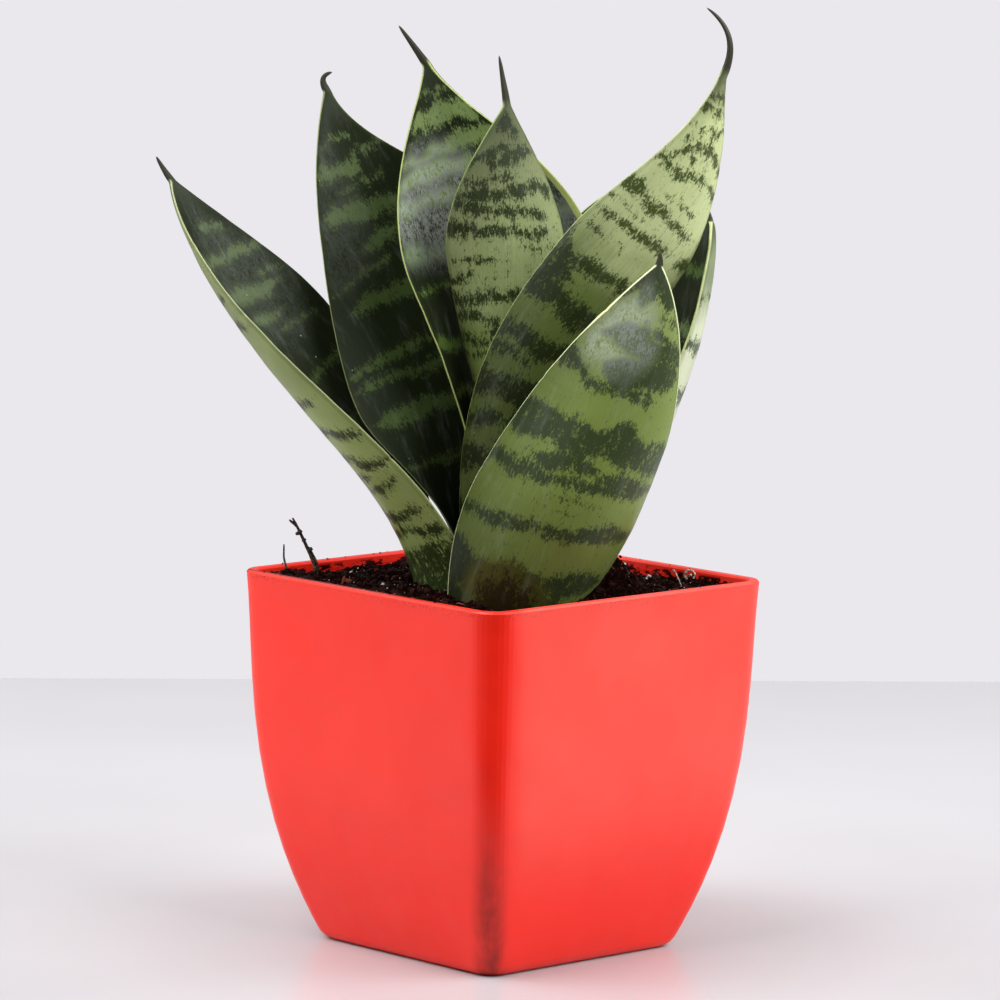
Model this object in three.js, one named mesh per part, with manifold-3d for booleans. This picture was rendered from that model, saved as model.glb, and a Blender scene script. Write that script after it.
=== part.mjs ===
// Potted snake plant: a rosette of eight stiff channelled leaves in a square red plastic pot.
// Millimetres, +Z up. The origin is the middle of the pot's flat underside; X and Y run along
// the pot's sides. The plant has a frame of its own, turned about Z: there +x is to the right
// and +y is away when one of the pot's corners points at the viewer.
import * as THREE from 'three';
import { mergeVertices } from 'three/addons/utils/BufferGeometryUtils.js';
import Module from 'manifold-3d';

const wasm = await Module();
wasm.setup();

// ---- driving dimensions -------------------------------------------------------------------
const POT_HEIGHT = 100;
const POT_RIM_SIDE = 101.6;
const POT_BASE_SIDE = 69.4;
const POT_WALL = 2.2;
const POT_FLOOR = 2.5;
const POT_EDGE_ROUND = 2.5; // rounding where the sides meet the underside
const RIM_WIDTH = 3;
const RIM_DEPTH = 2.4;
const RIM_EDGE = 0.5;
const RIM_FLARE = 1;
const FLARE_POWER = 8;
const SWELL_POWER = 2.8;
const CORNER_AT_RIM = 7.6;
const CORNER_AT_BASE = 6;
const DRAIN_HOLE = 8;
const DRAIN_PITCH = 18;

const SOIL_LEVEL = 97.1;
const SOIL_SLOPE = 0.02; // the soil stands higher at the left than at the right
const SOIL_EDGE_DROP = 0.5;
const SOIL_GAP = 0.4; // from the soil to the pot's walls
const GAP = 0.3;

const PLANT_TURN = 47;
const LEAF_STATIONS = 22;
const LEAF_ACROSS = 8;
const SPINE_STATIONS = 5;
const SPINE_WIDTH = 2.4;
const SPINE_END_WIDTH = 0.7;
const SPINE_CHANNEL = 20;
const THICK_AT_BASE = 2.8;
const THICK_AT_TIP = 1.7;
const MARGIN_THICKNESS = 0.8;
const TIP_ROUNDNESS = 1.8;
const SLOT_TOP = 112; // the slots in the soil are cut up to here

// Each leaf: the rib's four control points, the turn of its open side about Z and the half angle
// of its channel at root, middle and tip, its width over the curve, the share of its length
// where it is widest, its width there against that at the root, how full the tip is, how slowly
// the base widens, and the spine's bend and end.
const LEAVES = [
  {
    name: 'leaf_outer_left',
    rib: [[-20, -1, 84], [-21, 1, 123.5], [-62, -13, 145], [-89.5, 3, 203.5]],
    open: [20, -9, -30],
    channel: [58, 58, 30],
    width: 53, widest: 0.6, base: 0.78, tip: 1.0, flare: 2.2,
    spine: [[-91.8, 3, 206.5], [-93.9, 3, 210.2]],
  },
  {
    name: 'leaf_back_left',
    rib: [[-8, 14, 84], [10, 16, 164], [-45, 14, 192], [-49, 16, 227.3]],
    open: [-48, -70, -68],
    channel: [66, 20, 25],
    width: 67, widest: 0.45, base: 0.3, tip: 1.25, flare: 2.4,
    spine: [[-52, 16, 231.5], [-47.8, 16, 232.5]],
  },
  {
    name: 'leaf_back_tall',
    rib: [[1.5, 9, 84], [9, 15.5, 130.5], [-2, 16.5, 175], [-22.4, 12.5, 235]],
    open: [-93, -67, -105],
    channel: [62, 63, 57],
    width: 60, widest: 0.66, base: 0.35, tip: 1.35, flare: 2.0,
    spine: [[-26, 12.5, 240], [-30.2, 12.5, 245.5]],
  },
  {
    name: 'leaf_centre',
    rib: [[1.5, -2, 84], [7.5, -5, 119.5], [0, -6.5, 183], [-1, -5, 225.8]],
    open: [82, 88, 130],
    channel: [70, 65, 14],
    width: 34, widest: 0.72, base: 0.3, tip: 1.05, flare: 2.2,
    spine: [[-2, -5, 232], [-3.3, -5, 239]],
  },
  {
    name: 'leaf_inner_right',
    rib: [[4, -14, 84], [-6, -16, 183], [43, -21, 168], [55.2, -19, 235]],
    open: [94, 111, 124],
    channel: [68, 48, 35],
    width: 35.5, widest: 0.65, base: 0.66, tip: 1.35, flare: 0.9,
    spine: [[60.5, -19, 246.5], [50.6, -19, 253.2]],
  },
  {
    name: 'leaf_front',
    rib: [[5, -27.5, 84], [4, -37, 110], [31, -40, 147.5], [39, -40, 187]],
    open: [104, 94, 91],
    channel: [62, 72, 20],
    width: 56.5, widest: 0.31, base: 0.68, tip: 0.96, flare: 1.25,
    spine: [[39.5, -40, 189], [39.2, -40, 191]],
  },
  {
    name: 'leaf_outer_right',
    rib: [[23, -1, 84], [31, -1, 122], [53, -2, 154], [53.4, 0, 195.3]],
    open: [184, 194, 209],
    channel: [72, 58, 59],
    width: 37.5, widest: 0.52, base: 0.61, tip: 0.53, flare: 1.3,
    spine: [[53.2, 0, 197.2], [52.5, 0, 199.2]],
  },
  {
    name: 'leaf_back_right',
    rib: [[13, 21, 84], [17, 26, 118], [21.5, 31, 156], [30.6, 34, 200.2]],
    open: [-118, -109, -100],
    channel: [48, 37, 27],
    width: 43, widest: 0.58, base: 0.6, tip: 0.69, flare: 1.3,
    spine: [[31, 34, 202], [32, 34, 203.5]],
  },
];

const TWIG_STRANDS = [
  {
    radius: 0.55,
    path: [[-50.3, 15, 90], [-50.6, 15, 99], [-52.6, 15, 105], [-55, 15, 108.2], [-56.9, 15, 112.2]],
  },
  { radius: 0.45, path: [[-52.2, 15.6, 90], [-51.9, 15.4, 99.5], [-52.7, 15.1, 104.6]] },
  { radius: 0.4, path: [[-55.2, 15, 108.4], [-56.6, 14.9, 110.4], [-57.8, 14.8, 111.6]] },
];
const TWIG_KNOTS = [[-55, 15, 108.2, 0.95], [-54.1, 15, 107, 0.8], [-52.6, 15.1, 104.8, 0.85]];
const THREAD = { radius: 0.35, path: [[-57.2, 7, 92], [-57.6, 7.2, 98], [-58.8, 8, 102], [-58.9, 8, 106]] };

// ---- materials -----------------------------------------------------------------------------
const looks = (color, roughness) => new THREE.MeshStandardMaterial({ color, roughness, metalness: 0 });
const potRed = looks(0xf04438, 0.35);
const soilBrown = looks(0x2a1c17, 0.95);
const leafDark = looks(0x33432f, 0.4);
const leafPale = looks(0x7c9a58, 0.42);
const twigBrown = looks(0x3a3230, 0.9);

// ---- general helpers -----------------------------------------------------------------------
const vec = ([x, y, z]) => new THREE.Vector3(x, y, z);
const rad = THREE.MathUtils.degToRad;

function fromTriangles(points, triangles) {
  const geometry = new THREE.BufferGeometry();
  const coordinates = points.flatMap((p) => [p.x, p.y, p.z]);
  geometry.setAttribute('position', new THREE.Float32BufferAttribute(coordinates, 3));
  geometry.setIndex(triangles.flat());
  return geometry;
}

// A closed body through rings of equal point counts, capped flat at both ends; seen from the
// last ring's side the rings run anticlockwise.
function loft(rings) {
  const count = rings[0].length;
  const points = rings.flat();
  const triangles = [];
  for (let i = 0; i + 1 < rings.length; i += 1) {
    for (let j = 0; j < count; j += 1) {
      const a = i * count + j;
      const b = i * count + ((j + 1) % count);
      triangles.push([a, b, b + count], [a, b + count, a + count]);
    }
  }
  for (const [ring, turn] of [[0, -1], [rings.length - 1, 1]]) {
    const middle = rings[ring].reduce((sum, p) => sum.add(p), new THREE.Vector3()).divideScalar(count);
    points.push(middle);
    for (let j = 0; j < count; j += 1) {
      const a = ring * count + j;
      const b = ring * count + ((j + 1) % count);
      triangles.push(turn > 0 ? [a, b, points.length - 1] : [b, a, points.length - 1]);
    }
  }
  return fromTriangles(points, triangles);
}

function toSolid(geometry) {
  const bare = geometry.clone();
  bare.deleteAttribute('normal');
  bare.deleteAttribute('uv');
  const merged = mergeVertices(bare);
  const vertProperties = new Float32Array(merged.attributes.position.array);
  const triVerts = new Uint32Array(merged.index.array);
  return new wasm.Manifold(new wasm.Mesh({ numProp: 3, vertProperties, triVerts }));
}

function fromSolid(solid) {
  const { vertProperties, triVerts } = solid.getMesh();
  const geometry = new THREE.BufferGeometry();
  geometry.setAttribute('position', new THREE.BufferAttribute(vertProperties, 3));
  geometry.setIndex(new THREE.BufferAttribute(triVerts, 1));
  return geometry;
}

function piece(name, geometry, material) {
  geometry.computeVertexNormals();
  const mesh = new THREE.Mesh(geometry, material);
  mesh.name = name;
  return mesh;
}

// ---- pot -----------------------------------------------------------------------------------
// Half of the pot's outer side at a height: it swells quickly above the base and flares a little
// at the rim.
function potHalf(height) {
  const share = height / POT_HEIGHT;
  const swell = (POT_RIM_SIDE - POT_BASE_SIDE) / 2 - RIM_FLARE;
  return POT_BASE_SIDE / 2 + RIM_FLARE * share ** FLARE_POWER + swell * (1 - (1 - share) ** SWELL_POWER);
}

const potCorner = (height) => THREE.MathUtils.lerp(CORNER_AT_BASE, CORNER_AT_RIM, height / POT_HEIGHT);

// A square ring with round corners.
function squareRing(half, corner, height, arcSteps, sideSteps) {
  const ring = [];
  const inner = half - corner;
  for (let quarter = 0; quarter < 4; quarter += 1) {
    const turn = (quarter * Math.PI) / 2;
    const at = (x, y) => new THREE.Vector3(x, y, height).applyAxisAngle(new THREE.Vector3(0, 0, 1), turn);
    for (let i = 0; i <= arcSteps; i += 1) {
      const angle = (i / arcSteps) * (Math.PI / 2);
      ring.push(at(inner + corner * Math.cos(angle), inner + corner * Math.sin(angle)));
    }
    for (let i = 1; i < sideSteps; i += 1) {
      ring.push(at(inner - (2 * inner * i) / sideSteps, half));
    }
  }
  return ring;
}

function potGeometry() {
  const arcSteps = 8;
  const sideSteps = 2;
  const rings = [];
  const add = (half, corner, height) => rings.push(squareRing(half, corner, height, arcSteps, sideSteps));
  const roundSteps = 3;
  for (let i = 0; i <= roundSteps; i += 1) {
    const angle = (i / roundSteps) * (Math.PI / 2);
    const inset = POT_EDGE_ROUND * (1 - Math.sin(angle));
    const height = POT_EDGE_ROUND * (1 - Math.cos(angle));
    add(potHalf(height) - inset, potCorner(0) - inset / 2, height);
  }
  for (const height of [6, 11, 17, 24, 32, 41, 51, 61, 71, 80, 88, 94, POT_HEIGHT - RIM_EDGE]) {
    add(potHalf(height), potCorner(height), height);
  }
  const rimHalf = potHalf(POT_HEIGHT);
  add(rimHalf - RIM_EDGE, CORNER_AT_RIM - RIM_EDGE, POT_HEIGHT);
  add(rimHalf - RIM_WIDTH + RIM_EDGE, CORNER_AT_RIM - RIM_WIDTH + RIM_EDGE, POT_HEIGHT);
  add(rimHalf - RIM_WIDTH, CORNER_AT_RIM - RIM_WIDTH, POT_HEIGHT - RIM_EDGE);
  add(rimHalf - RIM_WIDTH, CORNER_AT_RIM - RIM_WIDTH, POT_HEIGHT - RIM_DEPTH);
  for (const height of [POT_HEIGHT - RIM_DEPTH - 0.6, 92, 84, 73, 61, 49, 38, 28, 19, 11, 6, POT_FLOOR]) {
    add(potHalf(height) - POT_WALL, potCorner(height) - POT_WALL, height);
  }
  return loft(rings);
}

function makePot() {
  let pot = toSolid(potGeometry());
  for (const x of [-DRAIN_PITCH, DRAIN_PITCH]) {
    for (const y of [-DRAIN_PITCH, DRAIN_PITCH]) {
      const hole = new THREE.CylinderGeometry(DRAIN_HOLE / 2, DRAIN_HOLE / 2, 3 * POT_FLOOR, 20);
      hole.rotateX(Math.PI / 2);
      hole.translate(x, y, POT_FLOOR / 2);
      pot = pot.subtract(toSolid(hole));
    }
  }
  return piece('pot', fromSolid(pot), potRed);
}

// ---- leaves --------------------------------------------------------------------------------
// A value along a leaf from those at its root, middle and tip.
function along([root, middle, tip], share) {
  return root * (1 - share) * (1 - 2 * share) + 4 * middle * share * (1 - share) + tip * share * (2 * share - 1);
}

function halfWidth(leaf, share) {
  const rise = Math.min(share / leaf.widest, 1);
  const fall = Math.max((share - leaf.widest) / (1 - leaf.widest), 0);
  const lower = leaf.base + (1 - leaf.base) * Math.sin((rise * Math.PI) / 2) ** leaf.flare;
  const upper = Math.max(1 - fall ** TIP_ROUNDNESS, 0) ** leaf.tip;
  return (leaf.width / 2) * (share < leaf.widest ? lower : upper) + SPINE_WIDTH / 2;
}

// The two faces of a leaf at one place on its rib: points on the inner face and on the outer one
// from margin to margin, over a section bent to an arc.
function faces(centre, ahead, openAngle, channel, half, thickness, grow) {
  const open = new THREE.Vector3(Math.cos(rad(openAngle)), Math.sin(rad(openAngle)), 0);
  open.addScaledVector(ahead, -open.dot(ahead)).normalize();
  const side = new THREE.Vector3().crossVectors(ahead, open);
  const bend = rad(channel);
  const reach = half + grow;
  const inner = [];
  const outer = [];
  for (let j = 0; j <= LEAF_ACROSS; j += 1) {
    const v = (2 * j) / LEAF_ACROSS - 1;
    const edge = Math.min(MARGIN_THICKNESS, thickness);
    const thick = edge + (thickness - edge) * Math.sqrt(1 - v * v) + 2 * grow;
    const middle = centre.clone();
    middle.addScaledVector(side, (reach * Math.sin(v * bend)) / bend);
    middle.addScaledVector(open, (reach * (1 - Math.cos(v * bend))) / bend);
    const normal = side.clone().multiplyScalar(-Math.sin(v * bend)).addScaledVector(open, Math.cos(v * bend));
    inner.push(middle.clone().addScaledVector(normal, thick / 2));
    outer.push(middle.clone().addScaledVector(normal, -thick / 2));
  }
  return { inner, outer };
}

// The sections of a leaf's blade and of the spine at its tip. grow makes them larger all round.
function leafSections(leaf, grow) {
  const rib = new THREE.CubicBezierCurve3(...leaf.rib.map(vec));
  const sections = [];
  for (let i = 0; i <= LEAF_STATIONS; i += 1) {
    const share = i / LEAF_STATIONS;
    const thickness = THREE.MathUtils.lerp(THICK_AT_BASE, THICK_AT_TIP, share);
    const turn = along(leaf.open, share);
    const channel = along(leaf.channel, share);
    const half = halfWidth(leaf, share);
    sections.push(faces(rib.getPointAt(share), rib.getTangentAt(share), turn, channel, half, thickness, grow));
  }
  const [bend, end] = leaf.spine.map(vec);
  const spine = new THREE.QuadraticBezierCurve3(vec(leaf.rib[3]), bend, end);
  for (let i = 1; i <= SPINE_STATIONS; i += 1) {
    const share = i / SPINE_STATIONS;
    const half = THREE.MathUtils.lerp(SPINE_WIDTH, SPINE_END_WIDTH, share) / 2;
    const thickness = THREE.MathUtils.lerp(THICK_AT_TIP, SPINE_END_WIDTH, share);
    const centre = spine.getPoint(share);
    const ahead = spine.getTangent(share);
    sections.push(faces(centre, ahead, leaf.open[2], SPINE_CHANNEL, half, thickness, grow));
  }
  return sections;
}

// A closed body from sections, with the triangles of both faces alike.
function bladeGeometry(sections) {
  const points = sections.flatMap(({ inner, outer }) => [...inner, ...outer]);
  const across = LEAF_ACROSS + 1;
  const inner = (i, j) => i * 2 * across + j;
  const outer = (i, j) => inner(i, j) + across;
  const triangles = [];
  const quad = (a, b, c, d) => triangles.push([a, b, c], [a, c, d]);
  const last = sections.length - 1;
  for (let i = 0; i < last; i += 1) {
    for (let j = 0; j < LEAF_ACROSS; j += 1) {
      quad(inner(i, j), inner(i, j + 1), inner(i + 1, j + 1), inner(i + 1, j));
      triangles.push([outer(i, j), outer(i + 1, j + 1), outer(i, j + 1)]);
      triangles.push([outer(i, j), outer(i + 1, j), outer(i + 1, j + 1)]);
    }
    quad(outer(i, 0), inner(i, 0), inner(i + 1, 0), outer(i + 1, 0));
    quad(inner(i, LEAF_ACROSS), outer(i, LEAF_ACROSS), outer(i + 1, LEAF_ACROSS), inner(i + 1, LEAF_ACROSS));
  }
  for (let j = 0; j < LEAF_ACROSS; j += 1) {
    quad(inner(0, j), outer(0, j), outer(0, j + 1), inner(0, j + 1));
    quad(inner(last, j), inner(last, j + 1), outer(last, j + 1), outer(last, j));
  }
  return fromTriangles(points, triangles);
}

function makeLeaf(leaf) {
  const showsInside = ['leaf_back_left', 'leaf_back_tall', 'leaf_back_right', 'leaf_outer_right'];
  const material = showsInside.includes(leaf.name) ? leafDark : leafPale;
  return piece(leaf.name, bladeGeometry(leafSections(leaf, 0)), material);
}

// The slot that a leaf's base stands in: the leaf's lower end, larger all round by the gap.
function slotSolid(leaf) {
  const sections = leafSections(leaf, GAP).filter(({ outer }) => outer[LEAF_ACROSS / 2].z < SLOT_TOP);
  const ahead = vec(leaf.rib[1]).sub(vec(leaf.rib[0])).normalize();
  for (const p of [...sections[0].inner, ...sections[0].outer]) {
    p.addScaledVector(ahead, -GAP);
  }
  return toSolid(bladeGeometry(sections));
}

// ---- dead twig and thread --------------------------------------------------------------------
function tubeGeometry(path, radius) {
  const sides = 6;
  const outline = new THREE.Shape();
  for (let i = 0; i < sides; i += 1) {
    const angle = (2 * Math.PI * i) / sides;
    const x = radius * Math.cos(angle);
    const y = radius * Math.sin(angle);
    if (i === 0) {
      outline.moveTo(x, y);
    } else {
      outline.lineTo(x, y);
    }
  }
  const extrudePath = new THREE.CatmullRomCurve3(path.map(vec));
  return new THREE.ExtrudeGeometry(outline, { steps: 9, extrudePath });
}

function makeTwig() {
  let twig = null;
  for (const { radius, path } of TWIG_STRANDS) {
    const strand = toSolid(tubeGeometry(path, radius));
    twig = twig ? twig.add(strand) : strand;
  }
  for (const [x, y, z, radius] of TWIG_KNOTS) {
    const knot = new THREE.IcosahedronGeometry(radius, 0);
    knot.translate(x, y, z);
    twig = twig.add(toSolid(knot));
  }
  return piece('dry_twig', fromSolid(twig), twigBrown);
}

const makeThread = () => piece('dry_thread', tubeGeometry(THREAD.path, THREAD.radius), twigBrown);

// The hole around a strand's foot, from just under it up to above the soil.
function footHole({ path, radius }) {
  const [foot, next] = path.map(vec);
  const below = foot.clone().addScaledVector(next.clone().sub(foot).normalize(), -GAP);
  const shift = [below, ...path.slice(1).map(vec)].map((p) => p.toArray());
  return toSolid(tubeGeometry(shift, radius + GAP));
}

// ---- soil ------------------------------------------------------------------------------------
// The height of the soil over a place in the plant's frame: uneven, sunk in front of the front
// leaf and heaped against the bases at the right.
function soilHeight(x, y) {
  const away = (cx, cy, reach) => ((x - cx) ** 2 + (y - cy) ** 2) / reach ** 2;
  const heap = 7.5 * Math.exp(-(away(25, -9, 9) ** 2));
  const sunk = 2.6 * Math.exp(-away(4, -42, 16));
  const lumps = 0.45 * Math.sin(0.31 * x + 0.6) * Math.cos(0.27 * y) + 0.3 * Math.sin(0.63 * y - 0.41 * x);
  return SOIL_LEVEL - SOIL_SLOPE * x + heap - sunk + lumps;
}

function soilGeometry() {
  const arcSteps = 3;
  const sideSteps = 8;
  const rings = [];
  const clear = POT_WALL + SOIL_GAP;
  const foot = POT_FLOOR + GAP;
  for (const height of [foot, 6.5, 11.5, 19.5, 28.5, 38.5, 49.5, 61.5, 73.5, 84.5, 92.5]) {
    rings.push(squareRing(potHalf(height) - clear, potCorner(height) - clear, height, arcSteps, sideSteps));
  }
  const edge = potHalf(POT_HEIGHT) - RIM_WIDTH - SOIL_GAP;
  const turn = new THREE.Vector3(0, 0, 1);
  const steps = 12;
  for (let i = 0; i < steps; i += 1) {
    const share = 1 - i / steps;
    const ring = squareRing(edge * share, (CORNER_AT_RIM - RIM_WIDTH) * share, 0, arcSteps, sideSteps);
    for (const p of ring) {
      const inPlant = p.clone().applyAxisAngle(turn, -rad(PLANT_TURN));
      p.z = soilHeight(inPlant.x, inPlant.y) - (i === 0 ? SOIL_EDGE_DROP : 0);
    }
    rings.push(ring);
  }
  return loft(rings);
}

function makeSoil() {
  let soil = toSolid(soilGeometry());
  const cutters = [...LEAVES.map(slotSolid), ...[...TWIG_STRANDS.slice(0, 2), THREAD].map(footHole)];
  for (const cutter of cutters) {
    soil = soil.subtract(cutter.rotate([0, 0, PLANT_TURN]));
  }
  return piece('soil', fromSolid(soil), soilBrown);
}

// ---- the whole plant ---------------------------------------------------------------------------
const plant = new THREE.Group();
plant.rotation.z = rad(PLANT_TURN);
plant.add(...LEAVES.map(makeLeaf), makeTwig(), makeThread());

const pottedPlant = new THREE.Group();
pottedPlant.add(makePot(), makeSoil(), plant);

export default pottedPlant;
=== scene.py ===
import math

import bpy
import numpy as np
from mathutils import Matrix, Vector, noise


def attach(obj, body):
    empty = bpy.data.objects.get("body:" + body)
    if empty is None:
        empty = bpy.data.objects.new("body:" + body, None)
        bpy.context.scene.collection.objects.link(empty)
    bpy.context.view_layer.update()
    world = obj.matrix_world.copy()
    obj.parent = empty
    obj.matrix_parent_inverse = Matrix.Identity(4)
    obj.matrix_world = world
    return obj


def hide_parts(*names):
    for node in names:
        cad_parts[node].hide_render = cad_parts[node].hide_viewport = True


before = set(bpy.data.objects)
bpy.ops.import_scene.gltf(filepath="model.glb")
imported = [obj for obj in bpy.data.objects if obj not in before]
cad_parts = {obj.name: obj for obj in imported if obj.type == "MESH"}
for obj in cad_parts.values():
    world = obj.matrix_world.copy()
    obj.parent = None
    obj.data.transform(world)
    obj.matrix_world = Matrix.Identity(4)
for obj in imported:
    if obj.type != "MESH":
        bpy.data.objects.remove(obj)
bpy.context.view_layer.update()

MM = 0.001
PLANT_TURN = math.radians(47)


# ---- recipes: node trees written as sums ----
def operation(kind, swapped=False):
    """A method that adds one Math node; swapped puts the socket's own value last."""
    def add_node(self, *others):
        terms = (*others, self) if swapped else (self, *others)
        return self.recipe.node("ShaderNodeMath", dict(enumerate(terms)), operation=kind)
    return add_node


def vector_operation(kind):
    """A method that adds one Vector Math node."""
    def add_node(self, other):
        return self.recipe.vector(kind, self, other)
    return add_node


class Amount:
    """One socket of a recipe. Sums written with it add the nodes."""

    def __init__(self, recipe, socket):
        self.recipe = recipe
        self.socket = socket

    __add__ = __radd__ = operation("ADD")
    __mul__ = __rmul__ = operation("MULTIPLY")
    __sub__, __rsub__ = operation("SUBTRACT"), operation("SUBTRACT", swapped=True)
    __truediv__, __rtruediv__ = operation("DIVIDE"), operation("DIVIDE", swapped=True)
    __pow__, __abs__ = operation("POWER"), operation("ABSOLUTE")
    sin, cos, exp = operation("SINE"), operation("COSINE"), operation("EXPONENT")
    least, most = operation("MINIMUM"), operation("MAXIMUM")
    plus, minus = vector_operation("ADD"), vector_operation("SUBTRACT")
    stretched, scaled = vector_operation("MULTIPLY"), vector_operation("SCALE")

    def rise(self, start, end):
        """0 at start, 1 at end and smooth between; start may be the larger."""
        sockets = {0: self, 1: start, 2: end}
        return self.recipe.node("ShaderNodeMapRange", sockets, interpolation_type="SMOOTHSTEP")

    def out(self, name):
        """Another output of the node that this one comes from."""
        return Amount(self.recipe, self.socket.node.outputs[name])

    def parts(self):
        split = self.recipe.node("ShaderNodeSeparateXYZ", {0: self})
        return split, split.out("Y"), split.out("Z")


class Recipe:
    """Adds nodes to a material's or a geometry's tree."""

    def __init__(self, tree):
        self.tree = tree

    def node(self, kind, sockets=None, output=0, **settings):
        """A new node's output. Sockets take a value, a link or a list of links, and colours
        take screen values."""
        made = self.tree.nodes.new(kind)
        for name, value in settings.items():
            setattr(made, name, value)
        for key, value in (sockets or {}).items():
            socket = made.inputs[key]
            for one in value if isinstance(value, list) else [value]:
                if isinstance(one, Amount):
                    self.tree.links.new(one.socket, socket)
                else:
                    socket.default_value = paint(*one) if socket.type == "RGBA" else one
        return Amount(self, made.outputs[output])

    def vector(self, kind, first, second=None, output=0):
        """One Vector Math node, whose number for scaling is socket 3."""
        sockets = {0: first}
        if second is not None:
            sockets[3 if kind == "SCALE" else 1] = second
        return self.node("ShaderNodeVectorMath", sockets, output, operation=kind)

    def join_xyz(self, x, y, z):
        return self.node("ShaderNodeCombineXYZ", {0: x, 1: y, 2: z})

    def blend(self, first, second, share, way="MIX"):
        """Two colours mixed, by the node's colour sockets, 6 and 7, and its output 2."""
        sockets = {0: share, 6: first, 7: second}
        return self.node("ShaderNodeMix", sockets, 2, data_type="RGBA", blend_type=way)

    def grain(self, place, scale, detail=2.0, rough=0.5):
        """Noise from 0 to 1; scale is one number or a number for each direction."""
        if isinstance(scale, tuple):
            place, scale = place.stretched(scale), 1.0
        sockets = {"Vector": place, "Scale": scale, "Detail": detail, "Roughness": rough}
        return self.node("ShaderNodeTexNoise", sockets)


class Finish(Recipe):
    """A material."""

    def __init__(self, name):
        self.material = bpy.data.materials.new(name)
        self.material.use_nodes = True
        super().__init__(self.material.node_tree)
        self.tree.nodes.clear()

    def shade(self, colour, share):
        """The colour made lighter or darker by a number that varies."""
        grey = self.node("ShaderNodeCombineColor", {0: share, 1: share, 2: share})
        return self.blend(colour, grey, 1.0, "MULTIPLY")

    def held(self, name):
        """A value kept on the piece's own points."""
        return self.node("ShaderNodeAttribute", attribute_name=name).out("Fac")

    def place(self):
        """Where a point is on the piece, in millimetres."""
        return self.node("ShaderNodeTexCoord").out("Object").scaled(1 / MM)

    def bump(self, height, depth, normal=None):
        sockets = {"Strength": 1.0, "Distance": depth * MM, "Height": height}
        if normal is not None:
            sockets["Normal"] = normal
        return self.node("ShaderNodeBump", sockets)

    def done(self, **sockets):
        named = {name.replace("_", " "): value for name, value in sockets.items()}
        shader = self.node("ShaderNodeBsdfPrincipled", named)
        end = self.tree.nodes.new("ShaderNodeOutputMaterial")
        self.tree.links.new(shader.socket, end.inputs["Surface"])
        return self.material


class Growth(Recipe):
    """A geometry tree with named inputs."""

    def __init__(self, name, inputs):
        super().__init__(bpy.data.node_groups.new(name, "GeometryNodeTree"))
        add = self.tree.interface.new_socket
        add("Geometry", in_out="OUTPUT", socket_type="NodeSocketGeometry")
        for wanted, kind in inputs.items():
            add(wanted, in_out="INPUT", socket_type="NodeSocket" + kind)
        self.inlet = self.tree.nodes.new("NodeGroupInput")

    def want(self, name):
        return Amount(self, self.inlet.outputs[name])

    def keep(self, geometry, name, value):
        sockets = {"Geometry": geometry, "Name": name, "Value": value}
        return self.node("GeometryNodeStoreNamedAttribute", sockets, data_type="FLOAT", domain="POINT")

    def held(self, name):
        """A value kept on the points."""
        return self.node("GeometryNodeInputNamedAttribute", {0: name}, data_type="FLOAT")

    def move(self, geometry, **sockets):
        return self.node("GeometryNodeSetPosition", {"Geometry": geometry, **sockets})

    def dents(self, scale, depth):
        """Offsets in every direction, of up to half the depth."""
        sockets = {"Vector": self.node("GeometryNodeInputPosition"), "Scale": scale, "Detail": 2.0}
        return self.node("ShaderNodeTexNoise", sockets, 1).minus((0.5, 0.5, 0.5)).scaled(depth)

    def give(self, geometry):
        realized = self.node("GeometryNodeRealizeInstances", {0: geometry})
        smooth = self.node("GeometryNodeSetShadeSmooth", {0: realized})
        sockets = {"Geometry": smooth, "Material": self.want("Material")}
        coated = self.node("GeometryNodeSetMaterial", sockets)
        end = self.tree.nodes.new("NodeGroupOutput")
        self.tree.links.new(coated.socket, end.inputs[0])

    def grow(self, name, values, start=None):
        """The plain mesh that the tree makes from these values, as a piece."""
        seed_mesh = start or bpy.data.meshes.new(name + "_start")
        holder = put_in_scene(name + "_growth", seed_mesh)
        growing = holder.modifiers.new("growth", "NODES")
        growing.node_group = self.tree
        for item in self.tree.interface.items_tree:
            if item.in_out == "INPUT" and item.name in values:
                growing[item.identifier] = values[item.name]
        now = bpy.context.evaluated_depsgraph_get()
        mesh = bpy.data.meshes.new_from_object(
            holder.evaluated_get(now), preserve_all_data_layers=True, depsgraph=now)
        holder.modifiers.clear()
        bpy.data.objects.remove(holder)
        mesh.name = name
        return put_in_scene(name, mesh)


def put_in_scene(name, data):
    made = bpy.data.objects.new(name, data)
    bpy.context.scene.collection.objects.link(made)
    return made


def mesh_from(name, points, faces, material=None, smooth=True):
    mesh = bpy.data.meshes.new(name)
    mesh.from_pydata([tuple(p) for p in points], [], faces)
    mesh.update()
    if smooth:
        mesh.polygons.foreach_set("use_smooth", [True] * len(mesh.polygons))
    if material:
        mesh.materials.append(material)
    return mesh


def paint(red, green, blue):
    """A colour given in screen values, 0 to 255, for a shader."""
    def linear(value):
        value = value / 255
        return value / 12.92 if value <= 0.04045 else ((value + 0.055) / 1.055) ** 2.4
    return (linear(red), linear(green), linear(blue), 1.0)


def in_row(point):
    """A point of the plant's frame in the row frame, in metres."""
    return Matrix.Rotation(PLANT_TURN, 3, "Z") @ (Vector(point) * MM)


# ---- camera ----
CAMERA_DISTANCE = 1.5887
CAMERA_HEIGHT = 0.3323
CAMERA_TURN = math.radians(46.9)
CAMERA_PITCH = math.radians(7.61)
CAMERA_YAW = math.radians(0.038)
CAMERA_ROLL = math.radians(0.963)
LENS, SENSOR = 216, 36  # mm
NEAREST_SEEN, FARTHEST_SEEN = 0.05, 20


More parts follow.
